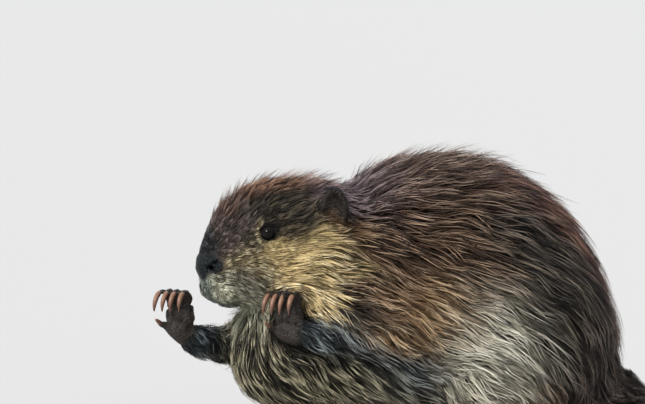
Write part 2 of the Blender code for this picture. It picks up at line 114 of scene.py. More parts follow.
# Colours of a lock of hair, in thousandths: at its root, along it, and at its tip. The pale tips
# are partly the hair's own lighter tips and partly painted highlights of wet hair.
HAIRS = {
    "ear": ((2, 2, 2), (8, 7, 6), (50, 44, 40)),
    "crown": ((4, 3, 3), (104, 46, 27), (860, 520, 330)),
    # The nape's lavender tint is painted sheen, a reflection of the sky on wet hair, over dark
    # hair.
    "nape_sheen": ((4, 4, 5), (120, 86, 92), (520, 420, 450)),
    "brow": ((5, 4, 4), (100, 64, 50), (420, 265, 200)),
    # The bridge's cool blue-grey is partly painted sheen of the sky on its dark hair.
    "bridge_sheen": ((4, 4, 5), (34, 33, 36), (140, 135, 150)),
    "forehead": ((8, 7, 6), (130, 99, 87), (300, 236, 210)),
    "temple": ((4, 4, 3), (45, 35, 22), (240, 185, 115)),
    "gold": ((350, 250, 113), (665, 510, 250), (680, 575, 340)),
    "straw": ((5, 3, 2), (960, 735, 370), (1000, 970, 760)),
    "lore": ((6, 5, 4), (140, 116, 72), (560, 480, 300)),
    "lip": ((32, 22, 10), (440, 357, 200), (1000, 880, 600)),
    "muzzle": ((5, 4, 3), (104, 86, 53), (940, 900, 690)),
    "philtrum": ((30, 36, 32), (230, 265, 230), (480, 540, 460)),
    "chin": ((14, 14, 9), (720, 700, 500), (1000, 1000, 820)),
    "throat": ((3, 3, 2), (45, 38, 25), (1000, 900, 600)),
    "tan": ((5, 3, 2), (320, 185, 85), (1000, 780, 490)),
    "mantle": ((2, 2, 1), (92, 49, 28), (600, 420, 280)),
    "back": ((2, 2, 2), (86, 48, 35), (590, 430, 330)),
    "side": ((2, 2, 2), (25, 19, 14), (345, 290, 225)),
    "rust": ((2, 2, 2), (92, 38, 27), (420, 240, 175)),
    "rump": ((2, 2, 2), (34, 24, 20), (330, 255, 215)),
    "streaked": ((3, 3, 2), (275, 240, 175), (1000, 950, 800)),
    "pale": ((7, 6, 5), (720, 675, 530), (1000, 1000, 920)),
    "belly": ((10, 8, 6), (320, 290, 215), (1000, 950, 760)),
    # The hand's pale grey tips are partly painted glints of water on its dark hair.
    "hand": ((6, 5, 5), (35, 32, 30), (300, 290, 280)),
    "foot": ((10, 9, 8), (45, 38, 32), (150, 130, 110)),
    # The arm's blue-grey hair and pale bluish tips are painted sheen of wet hair over dark fur.
    "arm": ((2, 3, 4), (42, 54, 62), (490, 590, 640)),
}
MARKINGS = {name: np.ravel(colours) / 1000 for name, colours in HAIRS.items()}

# Rows over the body's left half: place, lie, depth, length, lift and marking. The lie is the angle
# below level, towards the tail, in degrees. Lift is how far tips stand out, as a share of length.
BODY_PLAN = (
    # This row carries the nape's painted sheen.
    ((22, -180, 226), 0, 8, 20, 0.20, "nape_sheen"),
    ((28, -130, 246), 0, 10, 26, 0.28, "back"),
    ((35, -75, 258), 0, 12, 30, 0.30, "back"),
    ((40, -20, 246), 2, 12, 32, 0.20, "rust"),
    ((40, 35, 215), 10, 13, 34, 0.13, "rust"),
    ((30, 78, 150), 55, 13, 34, 0.12, "rust"),
    ((74, -162, 192), 20, 8, 26, 0.10, "mantle"),
    ((84, -150, 172), 30, 8, 27, 0.10, "mantle"),
    ((84, -135, 178), 40, 9, 30, 0.10, "mantle"),
    ((80, -125, 135), 45, 9, 28, 0.10, "tan"),
    ((78, -95, 225), -4, 11, 34, 0.10, "mantle"),
    ((88, -45, 222), 14, 12, 34, 0.10, "side"),
    ((101, -85, 178), 38, 11, 34, 0.09, "mantle"),
    ((104, -40, 180), 33, 11, 34, 0.09, "side"),
    ((92, 10, 195), 42, 12, 36, 0.09, "side"),
    ((76, 48, 160), 58, 13, 38, 0.10, "rump"),
    ((106, 0, 145), 50, 11, 36, 0.09, "side"),
    ((95, -126, 140), 36, 9, 26, 0.08, "tan"),
    ((103, -88, 134), 30, 9, 28, 0.08, "streaked"),
    ((106, -12, 114), 40, 10, 32, 0.09, "side"),
    ((108, -62, 112), 6, 9, 28, 0.08, "pale"),
    ((107, -82, 98), 12, 8, 26, 0.08, "pale"),
    ((108, -40, 98), 14, 9, 28, 0.08, "pale"),
    ((100, 26, 100), 62, 10, 34, 0.09, "rump"),
    ((62, 62, 100), 75, 10, 34, 0.10, "rump"),
    ((92, -15, 50), 65, 6, 16, 0.06, "mantle"),
    ((30, -60, 18), 0, 6, 16, 0.05, "belly"),
    ((78, -60, 55), 12, 7, 20, 0.08, "belly"),
    ((30, -150, 30), 12, 7, 20, 0.08, "belly"),
    ((35, -235, 75), 58, 7, 20, 0.12, "throat"),
    ((25, -225, 110), 70, 6, 20, 0.14, "throat"),
    ((62, -190, 90), 55, 6, 20, 0.12, "throat"),
    ((20, 82, 62), 25, 6, 18, 0.12, "rump"),
    ((15, 104, 38), 8, 3, 9, 0.06, "rump"),
)

# Rows over the arms, which differ from side to side. Rows marked arm carry painted sheen of wet
# hair.
ARM_PLAN = (
    ((98, -150, 110), 42, 6, 20, 0.14, "tan"),
    ((86, -140, 90), 44, 5, 20, 0.12, "arm"),
    ((84, -175, 105), 48, 5, 19, 0.14, "arm"),
    ((74, -208, 106), 35, 3, 10, 0.08, "arm"),
    ((-86, -205, 95), 35, 6, 22, 0.12, "tan"),
    ((-74, -244, 80), 45, 5, 20, 0.14, "arm"),
    ((-44, -262, 90), 60, 5, 20, 0.20, "throat"),
    ((-26, -286, 94), 55, 4, 18, 0.18, "throat"),
    ((-10, -304, 96), 40, 3, 9, 0.08, "arm"),
)

# Rows over the head's left half, placed along its own axes. The lie is the angle towards the chin
# from straight back.
HEAD_PLAN = (
    # This row carries the bridge's partly painted sheen.
    ((114, 6, 18), -5, 1.0, 3.5, 0.08, "bridge_sheen"),
    ((104, 16, 25), 0, 1.6, 5.5, 0.14, "forehead"),
    ((90, 10, 42), 0, 3.0, 12, 0.50, "brow"),
    ((82, 30, 24), 2, 2.2, 8, 0.12, "forehead"),
    ((68, 34, 30), 0, 2.8, 9, 0.12, "temple"),
    ((64, 10, 49), 0, 4.5, 15, 0.50, "crown"),
    ((34, 12, 43), 0, 5.5, 18, 0.60, "crown"),
    ((4, 15, 30), 0, 6.5, 19, 0.45, "crown"),
    ((36, 36, 32), 0, 4.5, 14, 0.18, "temple"),
    ((38, 46, 16), 4, 3.8, 13, 0.08, "temple"),
    ((20, 52, 10), 8, 3.8, 12, 0.08, "temple"),
    ((50, 50, 5), 10, 3.2, 11, 0.08, "temple"),
    ((104, 25, 12), 8, 1.3, 4.5, 0.08, "forehead"),
    ((86, 36, 6), 14, 1.6, 5.5, 0.10, "lore"),
    ((101, 29, -2), 20, 1.7, 6, 0.14, "lip"),
    ((76, 43, -6), 16, 2.5, 9, 0.10, "gold"),
    ((107, 25, -18), 30, 2.0, 8, 0.24, "muzzle"),
    ((92, 36, -16), 26, 2.4, 10, 0.22, "lip"),
    ((96, 33, -27), 30, 2.4, 10, 0.22, "muzzle"),
    ((124, 3, -30), 60, 1.0, 4, 0.08, "philtrum"),
    ((118, 17, -29), 50, 1.5, 5, 0.12, "chin"),
    ((104, 28, -36), 40, 2.2, 9, 0.22, "chin"),
    ((86, 40, -38), 35, 3.2, 12, 0.18, "straw"),
    ((70, 48, -24), 26, 3.8, 14, 0.14, "gold"),
    ((52, 56, -12), 20, 4.2, 15, 0.12, "gold"),
    ((26, 59, -14), 20, 5.2, 18, 0.12, "gold"),
    ((12, 58, -6), 14, 4.8, 16, 0.10, "tan"),
    ((8, 68, -50), 34, 8.0, 25, 0.12, "straw"),
    ((18, 78, -49), 30, 8.0, 25, 0.12, "straw"),
    ((48, 60, -34), 30, 6.2, 21, 0.16, "straw"),
    ((20, 60, -42), 32, 7.2, 24, 0.16, "straw"),
    ((62, 48, -58), 40, 5.0, 18, 0.20, "straw"),
    ((100, 16, -54), 40, 2.6, 12, 0.35, "chin"),
    ((84, 22, -66), 50, 3.2, 18, 0.55, "throat"),
    ((66, 16, -80), 50, 4.0, 22, 0.55, "throat"),
    ((2, 56, -20), 20, 5.5, 20, 0.12, "tan"),
    ((-16, 54, -6), 18, 6.0, 22, 0.12, "mantle"),
)
# How far a row's values reach before the next rows' take over. Colours change over a shorter way.
BODY_REACH, ARM_REACH, HEAD_REACH = 24, 15, 9.5
MARKING_SHARPNESS = 2.4


def plan_rows():
    """The plan's places, reaches and values, both halves, as arrays."""
    rows = []
    for (x, y, z), angle, *values in BODY_PLAN:
        lie = (0, cos(radians(angle)), -sin(radians(angle)))
        rows += [((side * x, y, z), BODY_REACH, lie, values) for side in SIDES.values()]
    for place, angle, *values in ARM_PLAN:
        lie = (0, cos(radians(angle)), -sin(radians(angle)))
        rows.append((place, ARM_REACH, lie, values))
    for (forward, left, up), angle, *values in HEAD_PLAN:
        lie = -FORWARD * cos(radians(angle)) - CROWN * sin(radians(angle))
        for side in SIDES.values():
            rows.append((in_head(forward, side * left, up), HEAD_REACH, lie, values))
    places = np.array([row[0] for row in rows], float)
    reaches = np.array([row[1] for row in rows], float)
    values = [[*row[2], *row[3][:3], *MARKINGS[row[3][3]]] for row in rows]
    return places, reaches, np.array(values, float)


def planned(points):
    """Lie, depth, length, lift and the three colours at points, blended from the nearest rows."""
    places, reaches, values = plan_rows()
    gaps = (points**2).sum(1)[:, None] + (places**2).sum(1)[None] - 2 * points @ places.T
    gaps = gaps / (2 * reaches**2)
    near = np.exp(gaps.min(1)[:, None] - gaps)
    found = (near / near.sum(1)[:, None]) @ values[:, :6]
    sharp = near**MARKING_SHARPNESS
    colours = (sharp / sharp.sum(1)[:, None]) @ values[:, 6:]
    return found[:, :3], found[:, 3], found[:, 4], found[:, 5], colours


# ---- Mesh tools ----


def values_of(items, key, width, kind=np.float32):
    found = np.empty(len(items) * width, kind)
    items.foreach_get(key, found)
    return found.reshape(-1, width)


def places_of(mesh):
    return values_of(mesh.vertices, "co", 3).astype(float) / MM


def move_to(mesh, points):
    mesh.vertices.foreach_set("co", (points * MM).astype(np.float32).ravel())
    mesh.update()


def normals_of(mesh):
    return values_of(mesh.vertex_normals, "vector", 3).astype(float)


def edges_of(mesh):
    return values_of(mesh.edges, "vertices", 2, np.int32)


def triangles_of(mesh):
    return values_of(mesh.polygons, "vertices", 3, np.int32)


def unit(vectors):
    return vectors / np.maximum(np.linalg.norm(vectors, axis=-1, keepdims=True), 1e-9)


def across(vectors, normals):
    """The vectors without what of them points along the normals, at unit length."""
    return unit(vectors - normals * (vectors * normals).sum(-1, keepdims=True))


def smoothstep(values, low, high):
    t = np.clip((values - low) / (high - low), 0, 1)
    return t * t * (3 - 2 * t)


def relaxed(values, edges, rounds, hold=None):
    """Values at a mesh's points, evened out with their neighbours', less where hold is near 1."""
    values = values.reshape(len(values), -1).astype(float)
    a, b = edges.T
    total = len(values)
    count = np.maximum(np.bincount(edges.ravel(), minlength=total), 1)
    ease = 0.5 if hold is None else 0.5 * (1 - hold)
    for _ in range(rounds):
        for k in range(values.shape[1]):
            column = values[:, k]
            around = np.bincount(a, column[b], total) + np.bincount(b, column[a], total)
            values[:, k] = column + ease * (around / count - column)
    return values


def mesh_from(bm, name):
    mesh = bpy.data.meshes.new(name)
    bm.to_mesh(mesh)
    bm.free()
    return mesh


def shade(mesh, smooth=True):
    mesh.polygons.foreach_set("use_smooth", np.full(len(mesh.polygons), smooth))


def object_of(name, mesh):
    made = bpy.data.objects.new(name, mesh)
    bpy.context.scene.collection.objects.link(made)
    return made


def mesh_of(name, points, triangles, colours=None, uvs=None):
    """A smooth-shaded object from arrays, with a colour and a map place at each point."""
    mesh = bpy.data.meshes.new(name)
    mesh.vertices.add(len(points))
    mesh.loops.add(len(triangles) * 3)
    mesh.polygons.add(len(triangles))
    mesh.vertices.foreach_set("co", (points * MM).astype(np.float32).ravel())
    mesh.loops.foreach_set("vertex_index", triangles.astype(np.int32).ravel())
    mesh.polygons.foreach_set("loop_start", np.arange(0, len(triangles) * 3, 3, dtype=np.int32))
    shade(mesh)
    if colours is not None:
        paint(mesh, "tint", colours)
    if uvs is not None:
        layer = mesh.uv_layers.new(name="OFBake", do_init=False)
        layer.uv.foreach_set("vector", uvs[triangles.ravel()].astype(np.float32).ravel())
    mesh.update()
    mesh.validate()
    return object_of(name, mesh)


def band(first, turns, outward=True):
    """The triangles between a ring of points, numbered from first, and the ring after it."""
    triangles = []
    for i in range(turns):
        a, b = first + i, first + (i + 1) % turns
        c, d = a + turns, b + turns
        triangles += [(a, c, d), (a, d, b)] if outward else [(a, d, c), (a, b, d)]
    return triangles


def paint(mesh, name, colours):
    layer = mesh.color_attributes.new(name, "FLOAT_COLOR", "POINT")
    whole = np.ones((len(colours), 4), np.float32)
    whole[:, :3] = colours
    layer.data.foreach_set("color", whole.ravel())


def mark(mesh, name, values):
    layer = mesh.attributes.new(name, "FLOAT", "POINT")
    layer.data.foreach_set("value", values.astype(np.float32))


def apply(obj, kind, **settings):
    """A modifier set up on the object and applied."""
    for other in bpy.context.selected_objects:
        other.select_set(False)
    bpy.context.view_layer.objects.active = obj
    obj.select_set(True)
    modifier = obj.modifiers.new(kind.lower(), kind)
    for key, value in settings.items():
        setattr(modifier, key, value)
    bpy.ops.object.modifier_apply(modifier=modifier.name)
    obj.select_set(False)


class Nearest:
    """Finds the closest of a set of points."""

    def __init__(self, points):
        self.tree = KDTree(len(points))
        for i, point in enumerate(points):
            self.tree.insert(point, i)
        self.tree.balance()

    def to(self, points):
        find = self.tree.find
        return np.array([find(point)[1] for point in points.tolist()], int)


# ---- The skin ----

CUT_CLOSING = 0.45
SKIN_VOXEL = 1.4
# Rounds of evening out: of the skin's shape, of its inset, and of what is bare or finely made.
SHAPE_ROUNDS, INSET_ROUNDS, BARE_ROUNDS, FINE_ROUNDS = 40, 60, 6, 20
# The share of the skin's triangles that is kept, fewest where the coat hides it.
KEPT_SHARE = 0.30
THINNING_LEVELS = 10


def swollen(node, by, called):
    """A mesh of a node of the frame, grown outwards."""
    bm = bmesh.new()
    bm.from_mesh(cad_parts[node].data)
    bmesh.ops.remove_doubles(bm, verts=bm.verts, dist=1e-6)
    bm.normal_update()
    for vert in bm.verts:
        vert.co += vert.normal * by * MM
    return mesh_from(bm, called)


def whole_flesh():
    """All the flesh as one closed surface, grown a little to close the cuts between its parts."""
    bm = bmesh.new()
    for name in FLESH:
        mesh = swollen(name, CUT_CLOSING, name + " copy")
        bm.from_mesh(mesh)
        bpy.data.meshes.remove(mesh)
    flesh = object_of("skin", mesh_from(bm, "skin"))
    apply(flesh, "REMESH", mode="VOXEL", voxel_size=SKIN_VOXEL * MM)
    apply(flesh, "TRIANGULATE")
    return flesh


def owners_of(points):
    """For each point, the number in FLESH of the part of the frame that is nearest."""
    corners, faces, owners = [], [], []
    for number, name in enumerate(FLESH):
        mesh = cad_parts[name].data
        start = len(corners)
        corners += [vert.co / MM for vert in mesh.vertices]
        faces += [[start + i for i in face.vertices] for face in mesh.polygons]
        owners += [number] * len(mesh.polygons)
    tree = BVHTree.FromPolygons(corners, faces)
    return np.array([owners[tree.find_nearest(point)[2]] for point in points.tolist()], int)


def belongs(owners, names):
    """1 at points of the named parts and 0 elsewhere."""
    return np.isin(owners, [FLESH.index(name) for name in names]).astype(float)


def dent(points, normals, centre, radii, axes, depth):
    """Points near a centre pushed in along their normals, most at the centre."""
    local = ((points - centre) @ axes.T) / radii
    share = 1 - smoothstep(np.linalg.norm(local, axis=1), 0, 1)
    return points - normals * (share * depth)[:, None]


# Sculpted places, along the head's own axes, with how deep each goes.
NOSTRILS = (
    {"place": (125, 14.5, 0), "radii": (7.0, 4.6, 4.8), "depth": 9.0},
    {"place": (119, 18.5, 3.5), "radii": (7.0, 5.0, 3.2), "depth": 5.0},
)
SOCKET = {"radii": (13, 13, 10), "depth": 1.6}
MOUTH_FRONT, MOUTH_CORNER = (119, -38), (74, -47)
MOUTH_DEPTH, MOUTH_HALF_WIDTH = 2.0, 1.8
PHILTRUM_DEPTH, PHILTRUM_HALF_WIDTH = 1.6, 2.2

# The line each hand grips along, and the clefts between its fingers, placed along that line.
GRIPS = {"left": (72, -239, 132), "right": (9, -329, 130)}
GRIP_ALONG = np.array((0.559, 0.829, 0.0))
GRIP_OUT = np.array((0.829, -0.559, 0.0))
FINGER_CLEFTS = (-7.0, 0.0, 7.0)
CLEFT_HALF_WIDTH, CLEFT_DEPTH, CLEFT_LEAN = 1.9, 1.9, 2.0


def carve_hands(points, normals, owners):
    """Clefts between the fingers, from the knuckles round to their ends."""
    for side, grip in GRIPS.items():
        local = points - np.array(grip, float)
        along, out, up = local @ GRIP_ALONG, local @ GRIP_OUT, local[:, 2]
        along = along + CLEFT_LEAN * smoothstep(out, -8, 10)
        gap = np.min([abs(along - cleft) for cleft in FINGER_CLEFTS], 0)
        share = 1 - smoothstep(gap, 0.2, CLEFT_HALF_WIDTH)
        share *= smoothstep(up + 0.5 * out, -6, 2) * (owners == FLESH.index("hand_" + side))
        points = points - normals * (share * CLEFT_DEPTH)[:, None]
    return points


def carve_head(points, normals):
    """Eye sockets, nostrils, the cleft of the upper lip and the line of the closed mouth."""
    for side, sign in SIDES.items():
        points = dent(points, normals, EYES[side], SOCKET["radii"], HEAD_AXES, SOCKET["depth"])
        for hollow in NOSTRILS:
            forward, left, up = hollow["place"]
            place = in_head(forward, sign * left, up)
            points = dent(points, normals, place, hollow["radii"], HEAD_AXES, hollow["depth"])
    local = to_head(points)
    forward, left, up = local.T
    along = (forward - MOUTH_CORNER[0]) / (MOUTH_FRONT[0] - MOUTH_CORNER[0])
    line = MOUTH_CORNER[1] + (MOUTH_FRONT[1] - MOUTH_CORNER[1]) * along
    mouth = (1 - smoothstep(abs(up - line), 0, MOUTH_HALF_WIDTH)) * smoothstep(along, -0.05, 0.15)
    cleft = 1 - smoothstep(abs(left), 0, PHILTRUM_HALF_WIDTH)
    cleft *= smoothstep(forward, 112, 120) * smoothstep(-up, 12, 18) * (up > MOUTH_FRONT[1])
    depth = np.where(abs(left) < 60, mouth * MOUTH_DEPTH + cleft * PHILTRUM_DEPTH, 0)
    return points - normals * depth[:, None]


def hairiness(bare):
    """How hairy points are, from how near they are to bare parts."""
    return 1 - smoothstep(bare, 0.05, 0.6)


def thin_out(skin, owners, edges):
    """Fewer, larger triangles under the coat, and the small ones kept on the head and feet."""
    fine = relaxed(belongs(owners, [*BARE, "head", "lower_jaw"]), edges, FINE_ROUNDS)[:, 0]
    group = skin.vertex_groups.new(name="thin out")
    for level in range(THINNING_LEVELS + 1):
        chosen = np.flatnonzero(np.round(THINNING_LEVELS * (1 - 0.9 * fine)) == level)
        group.add(chosen.tolist(), level / THINNING_LEVELS, "REPLACE")
    settings = {"vertex_group": group.name, "vertex_group_factor": 1.0}
    apply(skin, "DECIMATE", ratio=KEPT_SHARE, **settings)
    skin.vertex_groups.clear()


def make_skin():
    """The skin, and for each of its points the part of the frame it is on and how bare it is."""
    skin = whole_flesh()
    mesh = skin.data
    edges = edges_of(mesh)
    points = places_of(mesh)
    owners = owners_of(points)
    bare = relaxed(belongs(owners, BARE), edges, BARE_ROUNDS)[:, 0]
    hold = 0.15 + 0.75 * smoothstep(bare, 0.2, 0.8) - 0.4 * belongs(owners, ["tail"])
    move_to(mesh, relaxed(points, edges, SHAPE_ROUNDS, hold=hold))
    points = places_of(mesh)
    depth = planned(points)[1]
    inset = depth * hairiness(bare) + CUT_CLOSING
    inset = relaxed(inset, edges, INSET_ROUNDS, hold=smoothstep(bare, 0.6, 0.9))[:, 0]
    points = points - normals_of(mesh) * inset[:, None]
    move_to(mesh, points)
    points = carve_head(points, normals_of(mesh))
    points = carve_hands(points, normals_of(mesh), owners)
    points[:, 2] = np.maximum(points[:, 2], 0)
    move_to(mesh, points)
    before = Nearest(points)
    thin_out(skin, owners, edges)
    kept = before.to(places_of(skin.data))
    return skin, owners[kept], bare[kept]


# ---- The skin's own colours ----

BARE_COLOURS = {
    "nose": (0.003, 0.005, 0.006),
    "tail": (0.060, 0.052, 0.045),
    "hand": (0.030, 0.024, 0.020),
    "hind_foot": (0.060, 0.050, 0.042),
    "ear": (0.030, 0.024, 0.020),
}
LID_COLOUR = (0.006, 0.005, 0.005)

# Lengths of hair on ears and feet, and how much of the skin the tufts cover, thinner on feet.
EAR_HAIR, FOOT_HAIR = 3.4, 3.2
COVER, FOOT_COVER = 1.9, 0.35
# Distances in millimetres over which the coat changes. From an eye: where hair starts, where it
# gets longer and less dense, the dark rim, and the light crescent's two edges. From an ear: where
# hair gets longer and where the coat gets deeper.
EYE_BARE = 7.0
EYE_SHORT, EYE_CLOSE, EYE_RIM = (6, 20), (8, 18), (8.0, 11.0)
CRESCENT_START, CRESCENT_END = (8.5, 10.5), (12, 16)
EAR_SHORT, EAR_SHALLOW = (16, 34), (14, 30)


class Ground:
    """The skin as the coat sees it: each point's place, and how the hair grows there."""

    def __init__(self, skin, owners, bare):
        mesh = skin.data
        self.points = places_of(mesh)
        self.normals = normals_of(mesh)
        self.edges = edges_of(mesh)
        self.triangles = triangles_of(mesh)
        self.owners = owners
        self.nearest = Nearest(self.points)
        lie, depth, self.length, self.lift, self.colours = planned(self.points)
        self.lie_of_ears(lie)
        ears = self.part("ear_left", "ear_right")
        self.colours[ears] = MARKINGS["ear"]
        self.colours[self.part("hand_left", "hand_right")] = MARKINGS["hand"]
        self.colours[self.part("hind_foot_left", "hind_foot_right")] = MARKINGS["foot"]
        self.flow = across(lie, self.normals)
        self.flow = across(relaxed(self.flow, self.edges, 10), self.normals)
        self.depth = depth * hairiness(bare) + 0.5
        self.shorten()
        self.surface = BVHTree.FromPolygons(self.points.tolist(), self.triangles.tolist())

    def part(self, *names):
        return np.isin(self.owners, [FLESH.index(name) for name in names])

    def lie_of_ears(self, lie):
        """Ear hair grows from the ear's root out to its rim."""
        for side, sign in SIDES.items():
            on = self.part("ear_" + side)
            away = self.points[on] - in_head(4, sign * 46, 4)
            lie[on] = unit(away) - FORWARD * 0.5

    def gap_to(self, places):
        return np.min([np.linalg.norm(self.points - place, axis=1) for place in places], 0)

    def shorten(self):
        """Hair is short on the ears and feet and near the eyes, and missing in places."""
        ears = self.part("ear_left", "ear_right")
        feet = self.part(*(f"{part}_{side}" for part in ("hand", "hind_foot") for side in SIDES))
        self.length = np.where(ears, EAR_HAIR, self.length)
        self.length = np.where(feet, FOOT_HAIR, self.length)
        spread = COVER / (0.55 * width_for(self.length) * (self.length + 4))
        thin = np.where(feet, FOOT_COVER * smoothstep(self.normals[:, 2], -0.2, 0.4), 1.0)
        eye_gap, ear_gap = self.gap_to(EYES.values()), self.gap_to(EARS)
        ahead = 0.55 + 0.45 * smoothstep((self.points - EAR_LINE) @ FORWARD, -6, 10)
        self.length *= 1 - 0.65 * ahead * (1 - smoothstep(ear_gap, *EAR_SHORT))
        self.depth *= 1 - 0.5 * (1 - smoothstep(ear_gap, *EAR_SHALLOW))
        self.length *= 0.3 + 0.7 * smoothstep(eye_gap, *EYE_SHORT)
        self.depth *= 0.4 + 0.6 * smoothstep(eye_gap, *EYE_SHORT)
        self.spread = spread * thin * ~self.part("nose", "tail") * (eye_gap > EYE_BARE)
        self.spread *= 1 + 1.5 * (1 - smoothstep(eye_gap, *EYE_CLOSE))
        self.ring_eyes(eye_gap)

    def ring_eyes(self, eye_gap):
        """A dark rim round each eye, and a light crescent before it."""
        rim = smoothstep(eye_gap, *EYE_RIM)[:, None]
        self.colours = MARKINGS["ear"] * (1 - rim) + self.colours * rim
        for eye in EYES.values():
            gap = self.points - eye
            reach = np.linalg.norm(gap, axis=1)
            ahead = smoothstep(unit(gap) @ unit(FORWARD * 0.8 + CROWN * 0.6), 0.35, 0.85)
            ring = smoothstep(reach, *CRESCENT_START)
            ring = (ring * ahead * (1 - smoothstep(reach, *CRESCENT_END)))[:, None]
            self.colours = MARKINGS["lip"] * ring + self.colours * (1 - ring)


def width_for(length):
    return np.clip(0.42 + 0.024 * length, 0.5, 1.2)


# ---- Tufts ----

# Each kind of tuft: how high each of its rings and its tip stand, as a share of the coat's depth,
# how far each is drawn to the middle of its lock, its width at each ring, how long and wide it is
# and how far it stands out, how many tufts share a lock, and the shares of dark and light locks,
# each with its range of tones.
GUARD = {
    "heights": (-0.05, 0.4, 0.62, 0.7),
    "drawn": (0.0, 0.25, 0.6, 0.85),
    "widths": (0.55, 1.0, 0.75),
    "long": 1.2,
    "wide": 0.9,
    "lift": 0.8,
    "lock": 8,
    "tones": ((0.68, 0.0, 0.14), (0.26, 0.16, 0.36), (0.06, 0.5, 0.75)),
}
AWN = {
    "heights": (-0.05, 0.48, 0.76, 0.88, 0.92),
    "drawn": (0.0, 0.35, 0.6, 0.74, 0.84),
    "widths": (0.55, 1.0, 0.9, 0.6),
    "long": 1.6,
    "wide": 0.62,
    "lift": 0.8,
    "lock": 4,
    "tones": ((0.38, 0.0, 0.2), (0.27, 0.34, 0.56), (0.35, 0.8, 1.0)),
}
WIRE = {
    "heights": (-0.05, 0.62, 0.96, 1.04, 1.02),
    "drawn": (0.0, 0.25, 0.45, 0.6, 0.75),
    "widths": (0.6, 1.0, 0.9, 0.7),
    "long": 1.9,
    "wide": 0.5,
    "lift": 0.7,
    "lock": 3,
    "tones": ((1.0, 0.8, 1.0),),
}
STRAY = {
    "heights": (-0.05, 0.6, 1.0, 1.2),
    "drawn": (0.0, 0.25, 0.55, 0.85),
    "widths": (0.8, 1.0, 0.7),
    "long": 1.3,
    "wide": 0.5,
    "lift": 2.3,
    "lock": 3,
    "tones": ((0.5, 0.15, 0.5), (0.5, 0.55, 1.0)),
}
UNDER = {
    "heights": (-0.05, 0.35, 0.48),
    "drawn": (0.0, 0.0, 0.0),
    "widths": (0.8, 1.3),
    "long": 0.6,
    "wide": 1.3,
    "lift": 0.3,
    "lock": 9,
    "tones": ((1.0, 0.0, 0.12),),
}
FINE = {
    "heights": (-0.08, 0.6, 1.0),
    "drawn": (0.0, 0.35, 0.7),
    "widths": (0.8, 1.0),
    "long": 1.15,
    "wide": 0.9,
    "lift": 1.0,
    "lock": 6,
    "tones": ((0.37, 0.0, 0.12), (0.3, 0.26, 0.55), (0.33, 0.78, 1.0)),
}
TONE_SPREAD = 0.12
# How tufts vary: each one's own range for a measure, and the range that whole locks share.
OWN = {
    "length": (0.8, 1.15),
    "drawn": (0.75, 1.05),
    "depth": (0.8, 1.1),
    "lift": (0.7, 1.1),
    "width": (0.75, 1.2),
    "roll": (-0.6, 0.6),
}
SHARED = {"length": (0.75, 1.25), "depth": (0.7, 1.15), "lift": (0.4, 1.2), "phase": (0, 2 * pi)}
# How far tufts and locks turn off the lie, and how far they curl at each step, in radians.
TURN, CURL = (0.05, 0.09), (0.03, 0.06)
WAVE_LENGTH, WAVE_SWING = 46, 0.55
# Tufts near the floor lie along it, this far above, and strays rise only so far.
FLOOR_GAP = 0.7
HIGHEST_LIFT = 19
# How far roots sink into the skin, and how far apart tufts lie in the noise that streaks them.
ROOT_SINK = 0.3
STRAND_STEP = 7.31


def scatter(ground, spread, rng):
    """Roots spread over the skin: the face of each, and its weights on the face's corners."""
    a, b, c = (ground.points[ground.triangles[:, k]] for k in range(3))
    area = np.linalg.norm(np.cross(b - a, c - a), axis=1) / 2
    total = np.cumsum(area * spread[ground.triangles].mean(1))
    face = np.searchsorted(total, np.arange(rng.random(), total[-1]))
    u, v = rng.random((2, len(face)))
    over = u + v > 1
    u[over], v[over] = 1 - u[over], 1 - v[over]
    return face, np.stack((1 - u - v, u, v), 1)


def blended(values, ground, face, weights):
    """Values at the skin's points, blended at roots."""
    corners = values[ground.triangles[face]]
    if corners.ndim == 2:
        return (corners * weights).sum(1)
    return (corners * weights[:, :, None]).sum(1)


def ripple(points):
    """A slow wandering of the lie over the body, in radians."""
    x, y, z = points.T / 10
    wave = np.sin(1.1 * y + 1.3 * np.sin(0.7 * z + 0.5 * x)) + np.sin(1.6 * z - 1.0 * y + 0.6 * x)
    return 0.11 * wave + 0.06 * np.sin(2.6 * y + 1.9 * z + 0.8 * x)


def turned(vectors, normals, angles):
    side = np.cross(normals, vectors)
    return vectors * np.cos(angles)[:, None] + side * np.sin(angles)[:, None]


def march(ground, start, lengths, steps, turn, curl):
    """Paths from the roots over the skin along the lie, and the skin's normals under them."""
    index = ground.nearest.to(start)
    places, normals = [start], [ground.normals[index]]
    for step in range(steps):
        bend = turn + curl * (step - 0.7) + ripple(places[-1])
        ahead = turned(ground.flow[index], ground.normals[index], bend)
        point = places[-1] + ahead * (lengths / steps)[:, None]
        index = ground.nearest.to(point)
        normal = ground.normals[index]
        off = ((point - ground.points[index]) * normal).sum(1)
        places.append(point - normal * off[:, None])
        normals.append(normal)
    return np.array(places), np.array(normals)


def tones_of(kind, count, rng):
    """A tone from dark, 0, to light, 1, for each lock."""
    shares, lows, highs = np.array(kind["tones"]).T
    pick = rng.choice(len(shares), count, p=shares)
    return lows[pick] + (highs - lows)[pick] * rng.random(count)


def raised(paths, normals, heights, depth, lift, length, phase):
    """The paths raised off the skin by the coat's depth and their own lift, with a slow wave."""
    rings = len(paths) - 1
    course = unit(paths[-1] - paths[0])
    for k in range(rings + 1):
        share = k / rings
        rise = depth * heights[k] + 0.6 * lift * share**1.4 - (ROOT_SINK if k == 0 else 0)
        swing = np.sin(phase + 2 * pi * share * length / WAVE_LENGTH) * share
        swing *= WAVE_SWING * smoothstep(length, 8, 30)
        paths[k] += normals[k] * rise[:, None]
        paths[k] += np.cross(normals[k], course) * swing[:, None]
    paths[:, :, 2] = np.maximum(paths[:, :, 2], FLOOR_GAP)
    return paths


